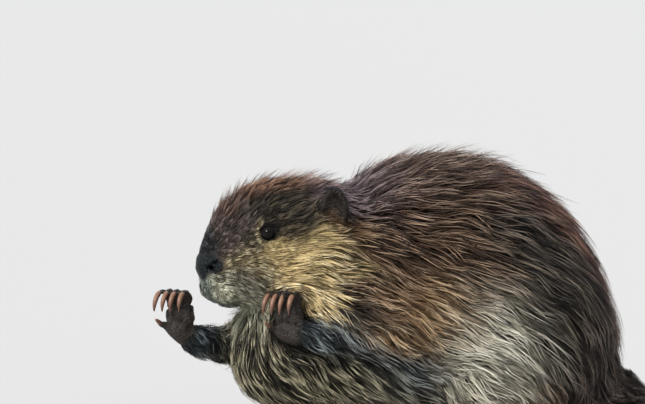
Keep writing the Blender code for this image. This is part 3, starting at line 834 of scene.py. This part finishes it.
def grow(ground, kind, spread, rng):
    """The tufts of one kind, as arrays of points, colours and map places for each tuft."""
    face, weights = scatter(ground, spread, rng)
    start = blended(ground.points, ground, face, weights)
    count, rings = len(start), len(kind["widths"])
    leaders = rng.permutation(count)[: max(count // kind["lock"], 1)]
    lock = Nearest(start[leaders]).to(start)

    def own(measure):
        return rng.uniform(*OWN[measure], count)

    def shared(measure):
        return rng.uniform(*SHARED[measure], len(leaders))[lock]

    def swerve(each, together):
        return rng.normal(0, each, count) + rng.normal(0, together, len(leaders))[lock]

    length = blended(ground.length, ground, face, weights) * kind["long"]
    length *= own("length") * shared("length")
    turn, curl = swerve(*TURN), swerve(*CURL)
    paths, normals = march(ground, start, length, rings, turn, curl)
    middle = paths[:, leaders[lock]]
    drawn = np.array(kind["drawn"])[:, None] * own("drawn")
    drawn *= smoothstep(length, 3, 16) * 0.7 + 0.3
    paths += (middle - paths) * np.clip(drawn, 0, 0.97)[:, :, None]
    depth = blended(ground.depth, ground, face, weights)
    depth = depth * own("depth") * shared("depth")
    lift = blended(ground.lift, ground, face, weights) * length * kind["lift"]
    lift *= own("lift") * shared("lift")
    lift = np.minimum(lift, HIGHEST_LIFT)
    paths = raised(paths, normals, kind["heights"], depth, lift, length, shared("phase"))
    tone = tones_of(kind, len(leaders), rng)[lock] + rng.normal(0, TONE_SPREAD, count)
    colours = blended(ground.colours, ground, face, weights).reshape(count, 3, 3)
    width = width_for(length) * kind["wide"] * own("width")
    made = blades(paths, normals, width, own("roll"), kind["widths"])
    made["colours"] = lock_colours(colours, np.clip(tone, 0, 1), rings)
    made["strand"] = np.arange(count)[:, None] * STRAND_STEP + made["across"][None]
    made["face"], made["weights"] = face, weights
    return made


def blades(paths, normals, width, roll, widths):
    """Solid tapering tufts along the paths: rings of three, a closed root and a pointed tip."""
    rings = len(paths) - 1
    points, across_, along = [], [], []
    for k in range(rings):
        ahead = unit(paths[min(k + 1, rings)] - paths[max(k - 1, 0)])
        side = unit(np.cross(ahead, normals[k]))
        up = np.cross(side, ahead)
        c, s = np.cos(roll)[:, None], np.sin(roll)[:, None]
        side, up = side * c + up * s, up * c - side * s
        half = (width * widths[k] / 2)[:, None]
        points += [paths[k] + side * half, paths[k] + up * half * 0.7, paths[k] - side * half]
        across_ += [1.0, 0.0, -1.0]
        along += [k / rings] * 3
    points.append(paths[rings])
    across_.append(0.0)
    along.append(1.0)
    faces = [(0, 1, 2)]
    for k in range(rings - 1):
        faces += band(3 * k, 3)
    low = 3 * (rings - 1)
    faces += [(low + i, low + 3, low + (i + 1) % 3) for i in range(3)]
    return {
        "points": np.stack(points, 1),
        "faces": np.array(faces),
        "across": np.array(across_),
        "along": np.array(along),
    }


def lock_colours(colours, tone, rings):
    """Root, hair and tip colours laid along each tuft, darker or lighter by its tone. Light tones
    reach the pale tips, which partly paint highlights of wet hair.
    """
    root, hair, tip = (colours[:, k] for k in range(3))
    tone = tone[:, None]
    middle = root + (hair - root) * (0.15 + 0.9 * tone)
    end = np.where(tone < 0.5, hair * (0.35 + 1.3 * tone), hair + (tip - hair) * (2 * tone - 1))
    rows = []
    for k in range(rings + 1):
        share = k / rings
        row = root + (middle - root) * min(share * 3.2, 1)
        row = row + (end - row) * max(share * 1.5 - 0.5, 0)
        rows += [row] * (3 if k < rings else 1)
    return np.stack(rows, 1)


# ---- Pieces of the coat ----

BODY_CUTS = (-72.0, 0.0)
PATCH = 0.003


def regions(ground):
    """For each face of the skin, the name of the piece of coat that grows there."""
    corner = ground.triangles[:, 0]
    middle = ground.points[ground.triangles].mean(1)
    on_head = ground.part("head", "lower_jaw", "nose", "ear_left", "ear_right")[corner]
    on_neck = ground.part("neck")[corner]
    arms = [f"{part}_{side}" for part in ("upper_arm", "forearm", "hand") for side in SIDES]
    on_arm = ground.part(*arms)[corner]
    left = np.where(on_head, to_head(middle)[:, 1], middle[:, 0]) > 0
    side = np.where(left, "left", "right")
    body = np.array(("front", "middle", "rear"))[np.searchsorted(BODY_CUTS, middle[:, 1])]
    place = np.where(on_head, "head", np.where(on_neck, "neck", np.where(on_arm, "arm", body)))
    return np.char.add(np.char.add(place, "_"), side)


def mapped(ground, faces):
    """Where the corners of these faces of the skin lie on a map of the skin's own shape."""
    used, local = np.unique(ground.triangles[faces].ravel(), return_inverse=True)
    patch = mesh_of("patch", ground.points[used], local.reshape(-1, 3))
    bpy.context.view_layer.objects.active = patch
    patch.select_set(True)
    bpy.ops.object.mode_set(mode="EDIT")
    bpy.ops.mesh.select_all(action="SELECT")
    bpy.ops.uv.smart_project(angle_limit=1.15, island_margin=0.004, scale_to_bounds=True)
    bpy.ops.object.mode_set(mode="OBJECT")
    found = values_of(patch.data.uv_layers.active.uv, "vector", 2)
    bpy.data.objects.remove(patch)
    return found.reshape(-1, 3, 2).astype(float)


def joined_tufts(crops, grows_here, corners):
    """The tufts on the chosen faces as arrays: points, triangles, colours, maps and strands."""
    parts = [[], [], [], [], []]
    start = 0
    for crop in crops:
        here = np.flatnonzero(grows_here[crop["face"]])
        size = crop["points"].shape[1]
        firsts = start + np.arange(len(here)) * size
        root = (corners[crop["face"][here]] * crop["weights"][here][:, :, None]).sum(1)
        root = np.clip(root, PATCH / 2, 1 - PATCH / 2)
        spot = np.stack((crop["across"] / 2, crop["along"] - 0.5), 1) * PATCH
        parts[0].append(crop["points"][here].reshape(-1, 3))
        parts[1].append((firsts[:, None, None] + crop["faces"]).reshape(-1, 3))
        parts[2].append(crop["colours"][here].reshape(-1, 3))
        parts[3].append((root[:, None] + spot).reshape(-1, 2))
        parts[4].append(crop["strand"][here].ravel())
        start += len(here) * size
    return [np.concatenate(part) for part in parts]


def coat_pieces(ground, crops):
    """One joined mesh of tufts for each region of the coat."""
    names = regions(ground)
    pieces = []
    for name in sorted(set(names)):
        here = names == name
        corners = np.zeros((len(names), 3, 2))
        corners[here] = mapped(ground, np.flatnonzero(here))
        *tufts, strands = joined_tufts(crops, here, corners)
        piece = mesh_of("coat_" + name, *tufts)
        mark(piece.data, "strand", strands % 1000)
        pieces.append(piece)
    return pieces


# Hair that is longer than this, in millimetres, grows in several layers, and shorter in one.
FINE_LENGTH = 13
# The range of lift over which stray hairs come in.
STANDING = (0.12, 0.30)


def make_coat(ground):
    """The coat's layers, from the undercoat out, parted into pieces."""
    rng = np.random.default_rng(7)
    body = ground.spread * (ground.length > FINE_LENGTH)
    face = ground.spread * (ground.length <= FINE_LENGTH)
    standing = ground.spread * 0.50 * smoothstep(ground.lift, *STANDING)
    layers = (
        (UNDER, body * 0.34),
        (GUARD, body * 0.84),
        (AWN, body * 0.78),
        (WIRE, body * 0.13),
        (STRAY, standing),
        (FINE, face * 1.42),
    )
    return coat_pieces(ground, [grow(ground, kind, spread, rng) for kind, spread in layers])


# ---- Looks ----


def plug(slot, value):
    """A link or a constant on a node's input."""
    if isinstance(value, Value):
        slot.id_data.links.new(value.socket, slot)
    else:
        slot.default_value = value


class Value:
    """A shader value that can be added, multiplied and so on."""

    def __init__(self, socket):
        self.socket = socket

    def math(self, operation, first, second):
        node = self.socket.id_data.nodes.new("ShaderNodeMath")
        node.operation = operation
        plug(node.inputs[0], first)
        plug(node.inputs[1], second)
        return Value(node.outputs[0])

    def __add__(self, other):
        return self.math("ADD", self, other)

    def __sub__(self, other):
        return self.math("SUBTRACT", self, other)

    def __rsub__(self, other):
        return self.math("SUBTRACT", other, self)

    def __mul__(self, other):
        return self.math("MULTIPLY", self, other)

    __radd__ = __add__
    __rmul__ = __mul__


class Look:
    """A material and the tree of values that gives it its surface."""

    def __init__(self, name):
        self.material = bpy.data.materials.new(name)
        self.material.use_nodes = True
        self.tree = self.material.node_tree
        self.surface = self.tree.nodes["Principled BSDF"]

    def node(self, kind, out=0, settings=None, **inputs):
        node = self.tree.nodes.new("ShaderNode" + kind)
        for key, value in (settings or {}).items():
            setattr(node, key, value)
        for key, value in inputs.items():
            plug(node.inputs[key], value)
        return Value(node.outputs[out])

    def attribute(self, name, out="Fac"):
        return self.node("Attribute", out, {"attribute_name": name})

    def place(self):
        return self.node("TexCoord", "Object")

    def noise(self, scale, detail=3.0, rough=0.5):
        """Smooth noise over the object, with scale in waves to the metre."""
        inputs = {"Scale": scale, "Detail": detail, "Roughness": rough}
        return self.node("TexNoise", "Fac", Vector=self.place(), **inputs)

    def cells(self, scale):
        return self.node("TexVoronoi", "Distance", Vector=self.place(), Scale=scale)

    def scaled(self, colour, factor):
        return self.node("VectorMath", 0, {"operation": "SCALE"}, Vector=colour, Scale=factor)

    def mixed(self, share, first, second):
        node = self.tree.nodes.new("ShaderNodeMix")
        node.data_type = "RGBA"
        plug(node.inputs[0], share)
        plug(node.inputs[6], first if isinstance(first, Value) else (*first, 1))
        plug(node.inputs[7], second if isinstance(second, Value) else (*second, 1))
        return Value(node.outputs[2])

    def bump(self, height, strength, depth):
        return self.node("Bump", Height=height, Strength=strength, Distance=depth)

    def set(self, **values):
        for key, value in values.items():
            plug(self.surface.inputs[key.replace("_", " ")], value)


def coat_look():
    look = Look("coat")
    strand = look.attribute("strand")
    line = {"noise_dimensions": "1D"}
    streak = look.node("TexNoise", "Fac", line, W=strand, Scale=2.6, Detail=2.0)
    tint = look.attribute("tint", "Color")
    look.set(
        Base_Color=look.scaled(tint, 0.55 + 0.9 * streak),
        Roughness=0.40,
        Normal=look.bump(streak, 0.5, 0.0004),
        # The shine is kept low, and the pale hair tips paint much of the coat's highlight.
        Specular_IOR_Level=0.22,
    )
    return look.material


def skin_look():
    look = Look("skin")
    tint = look.attribute("tint", "Color")
    fine = look.noise(420, 4.0)
    broad = look.noise(60, 3.0)
    pebbles = look.cells(520)
    wet = look.attribute("wet")
    look.set(
        Base_Color=look.scaled(tint, 0.5 + 0.6 * fine + 0.4 * broad),
        Roughness=0.42 + 0.25 * fine - 0.16 * wet,
        Normal=look.bump(pebbles + fine, 1.0, 0.0012),
        Specular_IOR_Level=0.15,
    )
    return look.material


def scale_look():
    look = Look("tail scales")
    fine = look.noise(700, 4.0)
    broad = look.noise(70, 3.0)
    look.set(
        Base_Color=look.scaled((0.050, 0.045, 0.040), 0.45 + 0.6 * fine + 0.5 * broad),
        Roughness=0.55 + 0.25 * fine,
        Normal=look.bump(fine, 0.4, 0.0003),
        Specular_IOR_Level=0.15,
    )
    return look.material


def eye_look():
    look = Look("eye")
    gaze = look.attribute("gaze")
    fine = look.noise(1500, 3.0)
    edge = {"From Min": 0.90, "From Max": 0.84}
    iris = look.node("MapRange", 0, {"interpolation_type": "SMOOTHSTEP"}, Value=gaze, **edge)
    brown = look.scaled((0.005, 0.003, 0.002), iris * (0.5 + fine))
    look.set(Base_Color=brown, Roughness=0.05 + 0.02 * fine, Specular_IOR_Level=0.17)
    return look.material


def claw_look(name, dark, pale):
    """Horn, paler towards the tip of each claw, with fine growth lines."""
    look = Look(name)
    fine = look.noise(600, 4.0)
    broad = look.noise(140, 2.0)
    colour = look.mixed(look.attribute("tip"), dark, pale)
    look.set(
        Base_Color=look.scaled(colour, 0.55 + 0.5 * fine + 0.4 * broad),
        Roughness=0.36 + 0.2 * fine,
        Normal=look.bump(fine, 0.35, 0.0004),
        Specular_IOR_Level=0.35,
    )
    return look.material


def whisker_look():
    look = Look("whiskers")
    fine = look.noise(200, 2.0)
    look.set(Base_Color=look.scaled((0.30, 0.27, 0.22), 0.3 + fine), Roughness=0.35)
    return look.material


# ---- Eyes, claws, whiskers and the tail's scales ----

LID_TURNS = 36
# Rings of the eyelids from the margin on the ball outwards: size against the opening, and height
# over the ball (inner rings) or over the skin (outer rings), in millimetres.
LID_RINGS = ((0.92, 0.08), (0.98, 0.35), (1.06, 0.50), (1.18, 0.50), (1.38, 0.20), (1.80, -0.60))
RINGS_ON_BALL = 3
LID_OPENING = (5.0, 4.4)


def eye_axes(side, sign):
    """The eye's own axes: forwards along the lids, up, and out of the head."""
    out = unit(LEFT * sign + FORWARD * 0.22 + CROWN * 0.16)
    along = unit(FORWARD - out * (FORWARD @ out))
    up = np.cross(out, along) * (1 if np.cross(out, along) @ CROWN > 0 else -1)
    return along, up, out


def make_lids(ground):
    """Both eyes' lids, as points and triangles: a rim on the ball that rolls out into the skin."""
    points, triangles = [], []
    for side, sign in SIDES.items():
        along, up, out = eye_axes(side, sign)
        start = len(points)
        for ring, (size, height) in enumerate(LID_RINGS):
            for k in range(LID_TURNS):
                angle = 2 * pi * k / LID_TURNS
                x = LID_OPENING[0] * size * cos(angle)
                y = LID_OPENING[1] * size * sin(angle) * (1 - 0.12 * abs(cos(angle)) ** 3)
                if ring < RINGS_ON_BALL:
                    radius = EYE_RADIUS + height
                    z = max(radius**2 - x * x - y * y, 0.3) ** 0.5
                    points.append(EYES[side] + along * x + up * y + out * z)
                    continue
                spot = EYES[side] + along * x + up * y
                found = ground.surface.ray_cast(Vector(spot + out * 14), Vector(-out))
                base = np.array(found[0]) if found[0] is not None else spot + out * 2
                points.append(base + out * height)
        for ring in range(len(LID_RINGS) - 1):
            triangles += band(start + ring * LID_TURNS, LID_TURNS, outward=sign > 0)
    return np.array(points), np.array(triangles)


BALL_TURNS, BALL_RINGS = 48, 32


def round_ball():
    """The points and triangles of a ball with a radius of 1, ring under ring."""
    points, triangles = [(0, 0, 1)], []
    for tilt in (pi * ring / BALL_RINGS for ring in range(1, BALL_RINGS)):
        for turn in (2 * pi * k / BALL_TURNS for k in range(BALL_TURNS)):
            points.append((sin(tilt) * cos(turn), sin(tilt) * sin(turn), cos(tilt)))
    last = len(points)
    for k in range(BALL_TURNS):
        after = (k + 1) % BALL_TURNS
        triangles.append((0, 1 + k, 1 + after))
        triangles.append((last, last - BALL_TURNS + after, last - BALL_TURNS + k))
    for ring in range(BALL_RINGS - 2):
        triangles += band(1 + ring * BALL_TURNS, BALL_TURNS)
    return np.array([*points, (0, 0, -1)], float), np.array(triangles)


def make_eye(side, sign, look):
    """A glossy ball with a slightly bulged front, marked with how squarely points face out."""
    points, triangles = round_ball()
    facing = points @ eye_axes(side, sign)[2]
    points = points * EYE_RADIUS * (1 + 0.03 * smoothstep(facing, 0.7, 1.0))[:, None]
    ball = mesh_of("eye_ball_" + side, points + EYES[side], triangles)
    mark(ball.data, "gaze", facing)
    ball.data.materials.append(look)
    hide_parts("eye_" + side)
    return ball


CLAW_SWELL = {"hand": 0.6, "hind": 0.4}


def make_claw(node, look):
    """A claw of the frame with its shape rounded, marked from its root to its tip."""
    mesh = swollen(node, CLAW_SWELL[node.split("_")[0]], node + "_horn")
    claw = object_of(node + "_horn", mesh)
    apply(claw, "SUBSURF", levels=2, render_levels=2)
    shade(claw.data)
    root = centre_of(node[: node.index("_claw")])
    gap = np.linalg.norm(places_of(claw.data) - root, axis=1)
    mark(claw.data, "tip", (gap - gap.min()) / np.ptp(gap))
    claw.data.materials.append(look)
    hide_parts(node)
    return claw


# Each kind of whisker: how many a side, their range of lengths and half thicknesses, and how far
# ahead of square they point.
WHISKERS = (
    {"count": 15, "reach": (22, 46), "thick": (0.13, 0.22), "ahead": (-0.25, 0.55)},
    {"count": 60, "reach": (9, 24), "thick": (0.10, 0.17), "ahead": (0.0, 0.9)},
)
WHISKER_RINGS = 7


def whisker(start, ahead, bend, reach, thick):
    """One whisker's points: rings of three along a bent line, finer towards its tip."""
    points = []
    for k in range(WHISKER_RINGS + 1):
        t = k / WHISKER_RINGS
        middle = start + (ahead * (t - 0.03) + bend * t * t * 0.5) * reach
        course = unit(ahead + bend * t)
        a = unit(np.cross(course, CROWN))
        b = np.cross(a, course)
        radius = thick * (1 - 0.9 * t)
        for angle in (0, 2 * pi / 3, 4 * pi / 3):
            points.append(middle + (a * cos(angle) + b * sin(angle)) * radius)
    return points


def whisker_patch(forward, sign, up):
    """A whisker's small patch of the map, at its root's place on the side of the muzzle."""
    u = (forward - 90) / 50 + (0.5 if sign < 0 else 0)
    v = (up + 40) / 50
    rings = [k / WHISKER_RINGS - 0.5 for k in range(WHISKER_RINGS + 1)]
    return [(u + side * PATCH, v + ring * PATCH) for ring in rings for side in (-0.5, 0, 0.5)]


def make_whiskers(ground, look):
    """Stiff hairs from the sides of the muzzle, long ones among many short ones."""
    rng = np.random.default_rng(23)
    points, triangles, uvs = [], [], []
    for kind, sign in [(kind, sign) for kind in WHISKERS for sign in SIDES.values()]:
        for _ in range(kind["count"]):
            forward, up = 94 + 20 * rng.random(), -4 - 34 * rng.random()
            spot = in_head(forward, sign * 60, up)
            start = ground.surface.ray_cast(Vector(spot), Vector(-LEFT * sign))[0]
            if start is None:
                continue
            ahead = LEFT * sign * 0.95 + FORWARD * rng.uniform(*kind["ahead"])
            ahead = unit(ahead + CROWN * rng.uniform(-0.55, 0.15))
            bend = -FORWARD * rng.uniform(0.1, 0.6) - CROWN * rng.uniform(0.1, 0.5)
            reach, thick = rng.uniform(*kind["reach"]), rng.uniform(*kind["thick"])
            first = len(points)
            points += whisker(np.array(start), ahead, bend, reach, thick)
            uvs += whisker_patch(forward, sign, up)
            for k in range(WHISKER_RINGS):
                triangles += band(first + 3 * k, 3, outward=False)
            last = first + 3 * WHISKER_RINGS
            triangles += [(first, first + 2, first + 1), (last, last + 1, last + 2)]
    whiskers = mesh_of("whiskers", np.array(points), np.array(triangles), uvs=np.array(uvs))
    whiskers.data.materials.append(look)
    return whiskers


# The tail's horny plates: their spacing across and along the tail, their outline, and their size.
SCALE_STEP = (5.4, 4.4)
SCALE_OUTLINE = ((0, -0.6), (0.52, -0.25), (0.50, 0.25), (0, 0.62), (-0.50, 0.25), (-0.52, -0.25))
SCALE_SIZE = (5.6, 6.4)
# The height that the tail lies about, and how far above and below it the search for skin starts.
TAIL_LEVEL, TAIL_REACH = 15, 60
# A plate's heights over the skin at its front, what it gains to its back, and in its middle.
SCALE_FRONT, SCALE_RISE, SCALE_MIDDLE, SCALE_SINK = 0.10, 0.45, 0.62, -0.9


def tail_skin_at(ground, x, y, face):
    """Where the tail's skin is met from above, face 1, or from below, face -1, and its normal."""
    start = Vector((x, y, TAIL_LEVEL + face * TAIL_REACH))
    return ground.surface.ray_cast(start, Vector((0, 0, -face)))[:2]


def lies_on_skin(ground, outline, face):
    """Whether all of a plate's corners have skin close under them, which they don't at a rim."""
    for corner in outline:
        found, _ = tail_skin_at(ground, corner[0], corner[1], face)
        if found is None or abs(found.z - corner[2]) > 1.2:
            return False
    return True


def scale_outline(spot, normal, size):
    """The corners of one plate, laid on the skin and pointing back."""
    back = unit(np.array((0, 1, 0)) - normal * normal[1])
    side = np.cross(back, normal)
    wide, long = SCALE_SIZE
    return [spot + (side * u * wide + back * v * long) * size for u, v in SCALE_OUTLINE]


def scale_points(spot, normal, outline):
    """A plate's points: its top and bottom corners, and the middle of its top."""
    points = []
    for top in (True, False):
        for corner, (_, v) in zip(outline, SCALE_OUTLINE):
            height = SCALE_FRONT + SCALE_RISE * (v + 0.6) if top else SCALE_SINK
            points.append(corner + normal * height)
    return [*points, spot + normal * SCALE_MIDDLE]


def scale_triangles(first):
    """A plate's faces, numbered from its first point: its crown, its sides and its floor."""
    triangles = []
    for k in range(6):
        m = (k + 1) % 6
        triangles.append((first + 12, first + k, first + m))
        triangles.append((first + k, first + 6 + k, first + 6 + m))
        triangles.append((first + k, first + 6 + m, first + m))
    return triangles + [(first + 6, first + 7 + k, first + 6 + k) for k in range(1, 5)]


def scale_spots(ground):
    """Places for plates in staggered rows over the tail's paddle, above and below."""
    low, high = (np.array(end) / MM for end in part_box("tail"))
    for row, y in enumerate(np.arange(low[1] + 4, high[1], SCALE_STEP[1])):
        for x in np.arange(low[0], high[0], SCALE_STEP[0]) + (row % 2) * SCALE_STEP[0] / 2:
            for face in (1, -1):
                spot, normal = tail_skin_at(ground, x, y, face)
                if spot is None or abs(normal.z) < 0.25:
                    continue
                if ground.part("tail")[ground.nearest.to(np.array([spot]))[0]]:
                    yield np.array(spot), np.array(normal), face


def make_scales(ground, look):
    """Overlapping horny plates over the tail's paddle, down to the floor."""
    rng = np.random.default_rng(31)
    points, triangles = [], []
    for spot, normal, face in scale_spots(ground):
        outline = scale_outline(spot, normal, rng.uniform(0.9, 1.08))
        if lies_on_skin(ground, outline, face):
            triangles += scale_triangles(len(points))
            points += scale_points(spot, normal, outline)
    points = np.array(points)
    points[:, 2] = np.maximum(points[:, 2], 0)
    scales = mesh_of("tail_scales", points, np.array(triangles))
    shade(scales.data, smooth=False)
    scales.data.materials.append(look)
    return scales


# ---- Putting the animal together ----


def skin_colours(ground):
    """Dark under the coat, in the coat's own markings, and bare-skin colours elsewhere."""
    root, hair = ground.colours[:, :3], ground.colours[:, 3:6]
    colours = root * 0.75 + hair * 0.25
    for name, colour in BARE_COLOURS.items():
        names = [part for part in BARE if part.startswith(name)]
        share = relaxed(ground.part(*names).astype(float), ground.edges, 3)
        colours = colours + (np.array(colour) - colours) * share
    return colours


def dress_skin(skin, ground, look):
    """Colours on the skin, and the eyelids joined to it."""
    colours = skin_colours(ground)
    points, triangles = make_lids(ground)
    whole = np.concatenate((ground.points, points))
    faces = np.concatenate((ground.triangles, triangles + len(ground.points)))
    tints = np.concatenate((colours, np.tile(LID_COLOUR, (len(points), 1))))
    bpy.data.objects.remove(skin)
    dressed = mesh_of("skin", whole, faces, tints)
    wet = np.concatenate((ground.part("nose"), np.zeros(len(points))))
    mark(dressed.data, "wet", wet)
    dressed.data.materials.append(look)
    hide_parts(*FLESH)
    return dressed


# ---- The studio ----

SWING, TILT = radians(78), radians(4.5)
TARGET = Vector((0.0, -0.185, 0.2226))
DISTANCE, LENS = 3.333, 200


def away(swing, tilt):
    return Vector((sin(swing) * cos(tilt), -cos(swing) * cos(tilt), sin(tilt)))


def set_camera():
    data = bpy.data.cameras.new("camera")
    data.lens = LENS
    data.sensor_width = 36
    data.clip_end = 200
    camera = object_of("camera", data)
    back = away(SWING, TILT)
    camera.location = TARGET + back * DISTANCE
    camera.rotation_euler = back.to_track_quat("Z", "Y").to_euler()
    bpy.context.scene.camera = camera


def add_light(name, swing, tilt, softness, strength, colour):
    """A soft light from far off, which lights the floor evenly."""
    data = bpy.data.lights.new(name, "SUN")
    data.angle = radians(softness)
    data.energy = strength
    data.color = colour
    light = object_of(name, data)
    back = away(radians(swing), radians(tilt))
    light.location = back * 3
    light.rotation_euler = back.to_track_quat("Z", "Y").to_euler()


def set_studio():
    bm = bmesh.new()
    bmesh.ops.create_grid(bm, x_segments=1, y_segments=1, size=30)
    floor = object_of("floor", mesh_from(bm, "floor"))
    look = Look("floor")
    look.set(Base_Color=(0.41, 0.405, 0.397, 1), Roughness=0.7)
    floor.data.materials.append(look.material)
    floor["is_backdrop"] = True
    world = bpy.data.worlds.new("studio")
    world.use_nodes = True
    back = world.node_tree.nodes["Background"]
    back.inputs["Color"].default_value = (0.92, 0.96, 1.0, 1)
    back.inputs["Strength"].default_value = 0.70
    bpy.context.scene.world = world
    bpy.context.scene.view_settings.view_transform = "Standard"
    add_light("key", 46, 40, 20, 4.9, (1.0, 0.98, 0.96))
    add_light("rim", 215, 50, 25, 1.3, (0.90, 0.95, 1.0))


skin, owners, bare = make_skin()
ground = Ground(skin, owners, bare)

coat = coat_look()
pieces = make_coat(ground)
for piece in pieces:
    piece.data.materials.append(coat)
eye = eye_look()
hand_claw = claw_look("hand claws", (0.062, 0.024, 0.017), (0.195, 0.104, 0.066))
foot_claw = claw_look("foot claws", (0.035, 0.024, 0.018), (0.120, 0.085, 0.060))
pieces += [make_eye(side, sign, eye) for side, sign in SIDES.items()]
for node in sorted(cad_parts):
    if "_claw_" in node:
        pieces.append(make_claw(node, hand_claw if node.startswith("hand") else foot_claw))
pieces.append(make_whiskers(ground, whisker_look()))
pieces.append(make_scales(ground, scale_look()))
pieces.append(dress_skin(skin, ground, skin_look()))
for piece in pieces:
    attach(piece, "root")

set_camera()
set_studio()

bounds = {"cad": cad_bounds, "visual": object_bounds()}
{name: [list(end) for end in ends] for name, ends in bounds.items()}
